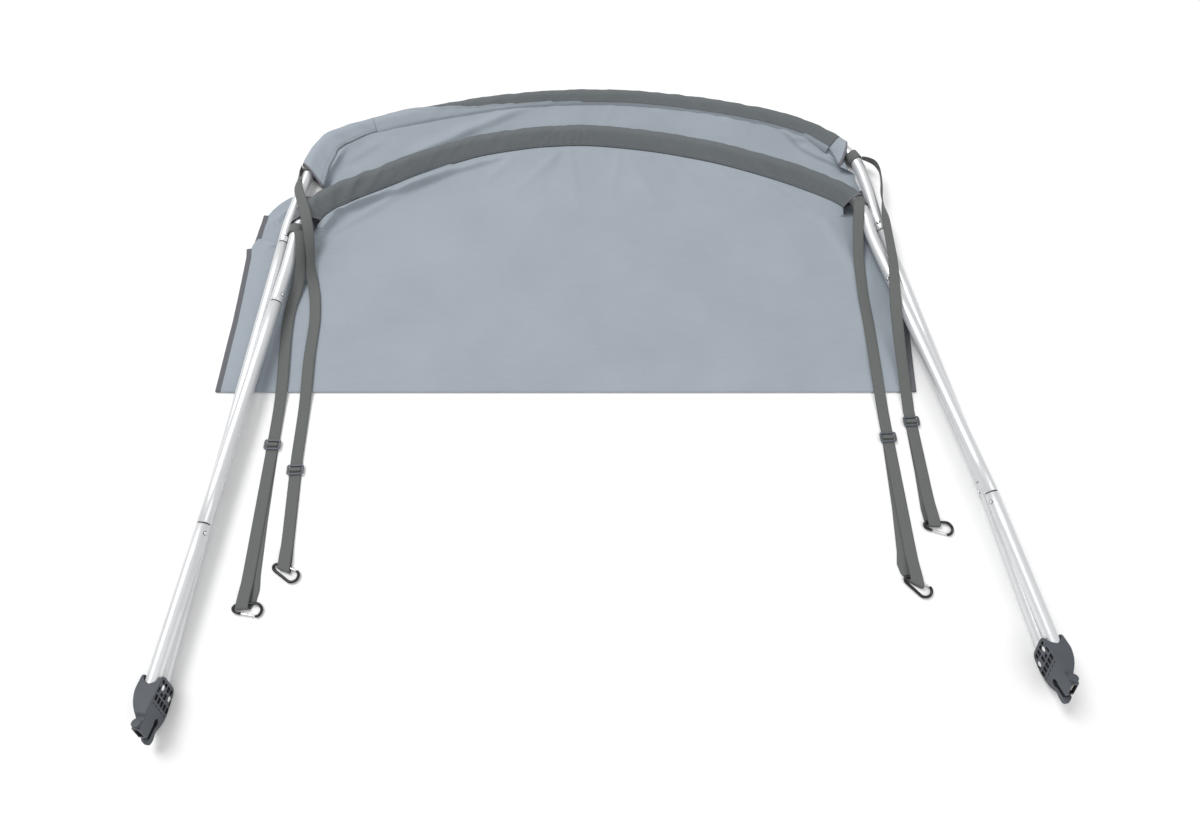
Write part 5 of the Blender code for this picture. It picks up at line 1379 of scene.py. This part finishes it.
def floor_edge(side, l):
    """Bottom edge c of a housing where it lies on the floor."""
    tilt, height = BRACKET_TILT[side], BOWS["near"][f"foot_{side}"][2] - FLOOR_GAP
    return min(LOWEST_EDGE, (height + l * math.sin(tilt)) / math.cos(tilt))


def housing_body(side, place):
    """The housing from the mouth of the tubes to the finger, as rounded sections across it."""
    rows = []
    table = [(l, top, floor_edge(side, l) if bottom is None else bottom, out)
             for l, top, bottom, out in HOUSING]
    for l, top, bottom, out in smooth_path(table, 3):
        radius = min(1.8, (out + PLATE) * 0.45)
        corners = rounded([(top, -PLATE), (top, out), (bottom, out), (bottom, -PLATE)], radius, 5)
        rows.append([place @ (Vector((l, c, t)) * MM) for c, t in corners])
    return skin("housing", rows, loop=True, ends=True)


def box(low_x, low_y, wide, high):
    return [(low_x, low_y), (low_x + wide, low_y), (low_x + wide, low_y + high), (low_x, low_y + high)]


def wedge(place, corners, low, high, across="c", dark=0):
    """A prism: corners in two of the bracket's axes, low and high on the third, which across names; dark is
    the material number of its faces, where 1 paints a housing's cut faces with shade.
    """
    lay = {"c": lambda a, b, third: (a, third, b), "t": lambda a, b, third: (a, b, third),
           "l": lambda a, b, third: (third, a, b)}[across]
    rows = [[place @ (Vector(lay(a, b, third)) * MM) for a, b in corners] for third in (low, high)]
    return numbered(skin("wedge", rows, loop=True, ends=True), dark)


def keyhole_outlines():
    """The keyhole with its slot, and all that lies past the block and above the finger."""
    (x, y), radius = KEYHOLE["centre"], KEYHOLE["radius"]
    turn = KEYHOLE["to"] - KEYHOLE["from"]
    angles = [math.radians(KEYHOLE["from"] + turn * i / 26) for i in range(27)]
    arc = [(x + radius * math.cos(angle), y + radius * math.sin(angle)) for angle in angles]
    low, high = SLOT[0] + 0.02, SLOT[1] - 0.02
    finger = rounded([(60.0, high), (66.0, high), (71.2, 33.4), (71.4, 36.4), (76.0, 40.0)], 3.0)[5:-5]
    block = rounded([(TIP_END, low), (TIP_END, -30), (66.5, -30), (66.5, low), (60.0, low)], 1.4)[15:20]
    start = BLOCK_END - 0.5
    past = [(start, high)] + finger + [(TIP_END, 40), (TIP_END, -30), (66.5, -30)] + block + [(start, low)]
    return arc + [(BLOCK_END, SLOT[1]), (BLOCK_END, SLOT[0])], past


def housing_cutters(side, place):
    """What is taken out of a housing: keyhole, tube space and mouth, latch recess, pockets and grooves;
    cutters numbered 1 leave walls painted darker as shade.
    """
    low, high = -PLATE + WALL, 12.5
    cavity = [(-30, low), (25, low), (25, 7.6), (18, 10.2), (10, high - 0.2), (-30, high)]
    slot, past = keyhole_outlines()
    # Cutters numbered 1 leave their cut faces in the recess finish, painted shade.
    cut = [wedge(place, slot, -40, 40, "t", 1), wedge(place, past, -41, 41, "t"),
           wedge(place, cavity, -9, 45.2, "c", 1)]
    mouth = ([(-40, -14.8)] + [(l, -1.0 - t) for l, t in MOUTH_HALF]
             + [(l, -1.0 + t) for l, t in reversed(MOUTH_HALF[:-1])] + [(-40, 12.8)])
    cut.append(wedge(place, mouth, -20, -8))
    cut.append(wedge(place, [(l + 14 * (l > -30), t) for l, t in mouth], 40, 60))
    foot, up = mm(BOWS["near"][f"foot_{side}"]), mm(BOWS["near"][f"low_{side}"])
    up = (up - foot).normalized()
    cut.append(skin("tube_seat", [ring(foot + up * d, up, TUBE_R + 0.0005, 40) for d in (-0.0094, 0.060)],
                    loop=True, ends=True))
    cut.append(wedge(place, rounded(LATCH_RECESS, 0.8, 3), 57.2, 70.0, "l", 1))
    for pocket in POCKETS:
        cut.append(wedge(place, rounded(box(*pocket), 0.7, 2), -PLATE - 4, -PLATE + POCKET_DEPTH, "t", 1))
    for column in range(5):
        groove = box(24.8, -8.0 + column * 11.2, 1.1, 7.6)
        cut.append(wedge(place, groove, -PLATE - 4, -PLATE + GROOVE_DEPTH, "t", 1))
    return cut


def build_rivets(side, place, axis):
    for bow in BOWS:
        local = place.inverted() @ mm(BOWS[bow][f"foot_{side}"])
        centre = place @ Vector((local.x, local.y, 0))
        parts = [turned(centre + axis * seat, axis * sign, RIVET_DOME, 24)
                 for seat, sign in zip(RIVET_HEADS, (-1, 1))]
        parts.append(turned(centre, axis, [(seat, RIVET_SHANK) for seat in RIVET_HEADS], 18))
        put(f"pivot_rivet_{bow}_{side}", joined("rivet", parts), [finish("steel")],
            [f"rivet_{bow}_{side}"])


def build_brackets(sizes):
    """Foot brackets: housing, two pivot rivets, release knob and catch."""
    for side in SIDES:
        place = bracket_matrix(side)
        shell = carved("housing", housing_body(side, place), housing_cutters(side, place))
        put(f"foot_housing_{side}", shell, [finish("fitting"), finish("recess")],
            [f"foot_bracket_{side}"], sharp=34.0)
        build_rivets(side, place, (place.to_3x3() @ UP).normalized())
        cross = -(place.to_3x3() @ Vector((0, 1, 0))).normalized()
        seat = place @ (Vector(KNOB_SEAT) * MM)
        skirt, groove, cap = (turned(seat, cross, profile, 36)
                              for profile in (KNOB_SKIRT, KNOB_GROOVE, KNOB_CAP))
        # The groove takes the recess finish, painted shade under the cap.
        knob = joined("knob", [skirt, numbered(groove, 1), cap])
        put(f"release_knob_{side}", knob, [finish("fitting"), finish("recess")],
            [f"latch_knob_{side}"], sharp=35.0)
        tongue = wedge(place, rounded(TONGUE, 0.9, 3), 62.6, 63.6, "l")
        shank = wedge(place, SHANK, 57.4, 62.7, "l")
        put(f"catch_tongue_{side}", joined("catch", [tongue, shank]), [finish("brass")],
            [f"catch_{side}"], sharp=35.0)


# ------------------------------------------------------------------ stage

FLOOR_REACH = 6.0


def build_stage(view):
    """Pale floor, soft studio light from the upper left, and the camera."""
    scene = bpy.context.scene
    mesh = bpy.data.meshes.new("floor")
    mesh.from_pydata([(-FLOOR_REACH, -FLOOR_REACH, 0), (FLOOR_REACH, -FLOOR_REACH, 0),
                      (FLOOR_REACH, FLOOR_REACH, 0), (-FLOOR_REACH, FLOOR_REACH, 0)], [], [(0, 1, 2, 3)])
    mesh.materials.append(finish("floor"))
    ground = linked("studio_floor", mesh)
    ground.location.z = -0.0004
    scene.world = bpy.data.worlds.new("studio")
    scene.world.use_nodes = True
    sky = scene.world.node_tree.nodes["Background"].inputs
    sky["Color"].default_value = (1.0, 1.0, 1.0, 1.0)
    sky["Strength"].default_value = view.sky
    scene.view_settings.view_transform = "Standard"
    for name, spot, size, power in (("key_softbox", (-2.6, 2.3, 5.6), 3.2, view.key),
                                    ("fill_softbox", (2.6, -2.4, 4.0), 3.0, view.fill)):
        light = bpy.data.lights.new(name, "AREA")
        light.energy = power
        light.size = size
        lamp = linked(name, light)
        lamp.location = spot
        lamp.rotation_euler = Vector(spot).to_track_quat("Z", "Y").to_euler()
    camera = bpy.data.cameras.new("studio_camera")
    camera.lens = view.lens
    camera.sensor_width = 36.0
    scene.camera = linked("studio_camera", camera)
    scene.camera.location = view.eye
    scene.camera.rotation_euler = (view.tilt, 0.0, 0.0)


# ------------------------------------------------------------------ add-on

def length_setting(name, description, default):
    return FloatProperty(name=name, description=description, default=default, min=0.0, precision=4,
                         unit="LENGTH", subtype="DISTANCE")


def colour_setting(name, description, default):
    return FloatVectorProperty(name=name, description=description, default=default, size=3, min=0.0, max=1.0,
                               subtype="COLOR")


class BiminiSizes(PropertyGroup):
    """Sizes of the set that can be changed without changing its frame."""
    joint_groove: length_setting("Joint groove", "Width of the groove between two tube lengths", 0.0012)
    sleeve_step: length_setting("Sleeve step", "Spacing of the rows of points along a sleeve", 0.0045)
    binding_width: length_setting("Binding width", "How far the edge tape stands past the cloth", 0.0088)
    stitch_pitch: length_setting("Stitch pitch", "Length from one stitch to the next", 0.0042)
    thread_size: length_setting("Thread size", "Radius of a sewing thread", 0.00045)
    canopy_width: length_setting("Canopy width", "Width of the cloth before folding", 1.24)
    canopy_length: length_setting("Canopy length", "Length of the cloth before folding", 1.33)
    canopy_area: FloatProperty(name="Canopy area", description="Flat area of the cut cloth, in square metres",
                               default=1.25, min=0.1, unit="AREA")
    canopy_columns: IntProperty(name="Canopy columns", description="Columns of points across the cloth",
                                default=216, min=40, max=400)


class BiminiFinishes(PropertyGroup):
    """Colours of the cloth, webbing, tubes and fittings."""
    canopy: colour_setting("Canopy", "Canopy cloth", (0.298, 0.336, 0.376))
    sleeve: colour_setting("Sleeves", "Pole sleeves", (0.112, 0.125, 0.133))
    hem: colour_setting("Hems", "Hems at the sleeve mouths", (0.150, 0.150, 0.170))
    binding: colour_setting("Binding", "Tape along the side edges", (0.120, 0.122, 0.135))
    thread_colour: colour_setting("Thread", "Sewing thread", (0.330, 0.350, 0.365))
    webbing: colour_setting("Webbing", "Straps and their loops", (0.114, 0.122, 0.117))
    tube: colour_setting("Tubes", "Aluminium tubes", (0.74, 0.752, 0.765))
    fitting: colour_setting("Fittings", "Sliders, brackets and knobs", (0.071, 0.080, 0.093))
    rod: colour_setting("Hooks", "Coated rod of the snap hooks", (0.012, 0.012, 0.013))
    steel: colour_setting("Steel", "Gates, rivets and buttons", (0.80, 0.80, 0.79))
    catch: colour_setting("Catch", "Metal tongue in the latch", (0.62, 0.55, 0.46))
    floor: colour_setting("Floor", "Studio floor", (0.92, 0.92, 0.92))
    thread: length_setting("Thread pitch", "Spacing of the threads of the cloth", 0.0007)


class BiminiView(PropertyGroup):
    """The studio: light and camera."""
    sky: FloatProperty(name="Sky", description="Strength of the light from all round", default=0.60, min=0.0)
    key: FloatProperty(name="Key light", description="Power of the soft light at the upper left",
                       default=265.0, min=0.0, unit="POWER")
    fill: FloatProperty(name="Fill light", description="Power of the soft light at the lower right",
                        default=50.0, min=0.0, unit="POWER")
    lens: FloatProperty(name="Lens", description="Focal length of the camera", default=25.5, min=5.0,
                        unit="CAMERA")
    tilt: FloatProperty(name="Tilt", description="How far the camera looks up from straight down",
                        default=math.radians(25.0), subtype="ANGLE", unit="ROTATION")
    eye: FloatVectorProperty(name="Camera", description="Place of the camera", size=3,
                             default=(-0.01201, -0.72955, 1.34291), subtype="TRANSLATION", unit="LENGTH")


class BiminiOperator:
    """What every builder here shares."""
    bl_options = {"REGISTER", "UNDO"}

    def execute(self, context):
        self.build(context.scene.bimini_sizes)
        return {"FINISHED"}


class BIMINI_OT_bows(BiminiOperator, Operator):
    """Build the aluminium tubes of both bows"""
    bl_idname = "bimini.bows"
    bl_label = "Bows"
    build = staticmethod(build_bows)


class BIMINI_OT_buttons(BiminiOperator, Operator):
    """Build the snap buttons at the tube joints"""
    bl_idname = "bimini.buttons"
    bl_label = "Snap buttons"
    build = staticmethod(build_buttons)


class BIMINI_OT_sleeves(BiminiOperator, Operator):
    """Build the pole sleeves and cuffs"""
    bl_idname = "bimini.sleeves"
    bl_label = "Pole sleeves"
    build = staticmethod(build_sleeves)


class BIMINI_OT_canopy(BiminiOperator, Operator):
    """Build the folded canopy cloth"""
    bl_idname = "bimini.canopy"
    bl_label = "Canopy"
    build = staticmethod(build_canopy)


class BIMINI_OT_bindings(BiminiOperator, Operator):
    """Build the binding tape along the side edges"""
    bl_idname = "bimini.bindings"
    bl_label = "Edge binding"
    build = staticmethod(build_bindings)


class BIMINI_OT_stitching(BiminiOperator, Operator):
    """Build the rows of stitches along the sleeves"""
    bl_idname = "bimini.stitching"
    bl_label = "Stitching"
    build = staticmethod(build_stitching)


class BIMINI_OT_straps(BiminiOperator, Operator):
    """Build the webbing straps and their loops"""
    bl_idname = "bimini.straps"
    bl_label = "Straps"
    build = staticmethod(build_straps)


class BIMINI_OT_sliders(BiminiOperator, Operator):
    """Build the three-bar sliders"""
    bl_idname = "bimini.sliders"
    bl_label = "Sliders"
    build = staticmethod(build_sliders)


class BIMINI_OT_hooks(BiminiOperator, Operator):
    """Build the snap hooks and their gates"""
    bl_idname = "bimini.hooks"
    bl_label = "Snap hooks"
    build = staticmethod(build_hooks)


class BIMINI_OT_brackets(BiminiOperator, Operator):
    """Build the foot brackets, rivets, knobs and catches"""
    bl_idname = "bimini.brackets"
    bl_label = "Foot brackets"
    build = staticmethod(build_brackets)


class BIMINI_OT_stage(Operator):
    """Set the floor, the light and the camera"""
    bl_idname = "bimini.stage"
    bl_label = "Stage"
    bl_options = {"REGISTER", "UNDO"}

    def execute(self, context):
        build_stage(context.scene.bimini_view)
        return {"FINISHED"}


BUILDERS = (BIMINI_OT_bows, BIMINI_OT_buttons, BIMINI_OT_sleeves, BIMINI_OT_canopy, BIMINI_OT_bindings,
            BIMINI_OT_stitching, BIMINI_OT_straps, BIMINI_OT_sliders, BIMINI_OT_hooks, BIMINI_OT_brackets,
            BIMINI_OT_stage)


class BIMINI_PT_panel(Panel):
    """Lists the builders and what they can change"""
    bl_label = "Bimini Top"
    bl_idname = "BIMINI_PT_panel"
    bl_space_type = "VIEW_3D"
    bl_region_type = "UI"
    bl_category = "Bimini"

    def draw(self, context):
        for group in (context.scene.bimini_sizes, context.scene.bimini_finishes, context.scene.bimini_view):
            settings = self.layout.box()
            for setting in group.bl_rna.properties:
                if not setting.is_readonly and setting.identifier != "name":
                    settings.prop(group, setting.identifier)
        column = self.layout.column(align=True)
        for builder in BUILDERS:
            column.operator(builder.bl_idname)


CLASSES = (BiminiSizes, BiminiFinishes, BiminiView) + BUILDERS + (BIMINI_PT_panel,)


def register():
    for made in CLASSES:
        bpy.utils.register_class(made)
    bpy.types.Scene.bimini_sizes = PointerProperty(type=BiminiSizes)
    bpy.types.Scene.bimini_finishes = PointerProperty(type=BiminiFinishes)
    bpy.types.Scene.bimini_view = PointerProperty(type=BiminiView)


def unregister():
    del bpy.types.Scene.bimini_view
    del bpy.types.Scene.bimini_finishes
    del bpy.types.Scene.bimini_sizes
    for made in reversed(CLASSES):
        bpy.utils.unregister_class(made)


def main():
    register()
    for builder in BUILDERS:
        group, action = builder.bl_idname.split(".")
        getattr(getattr(bpy.ops, group), action)()


if __name__ == "__main__":
    main()
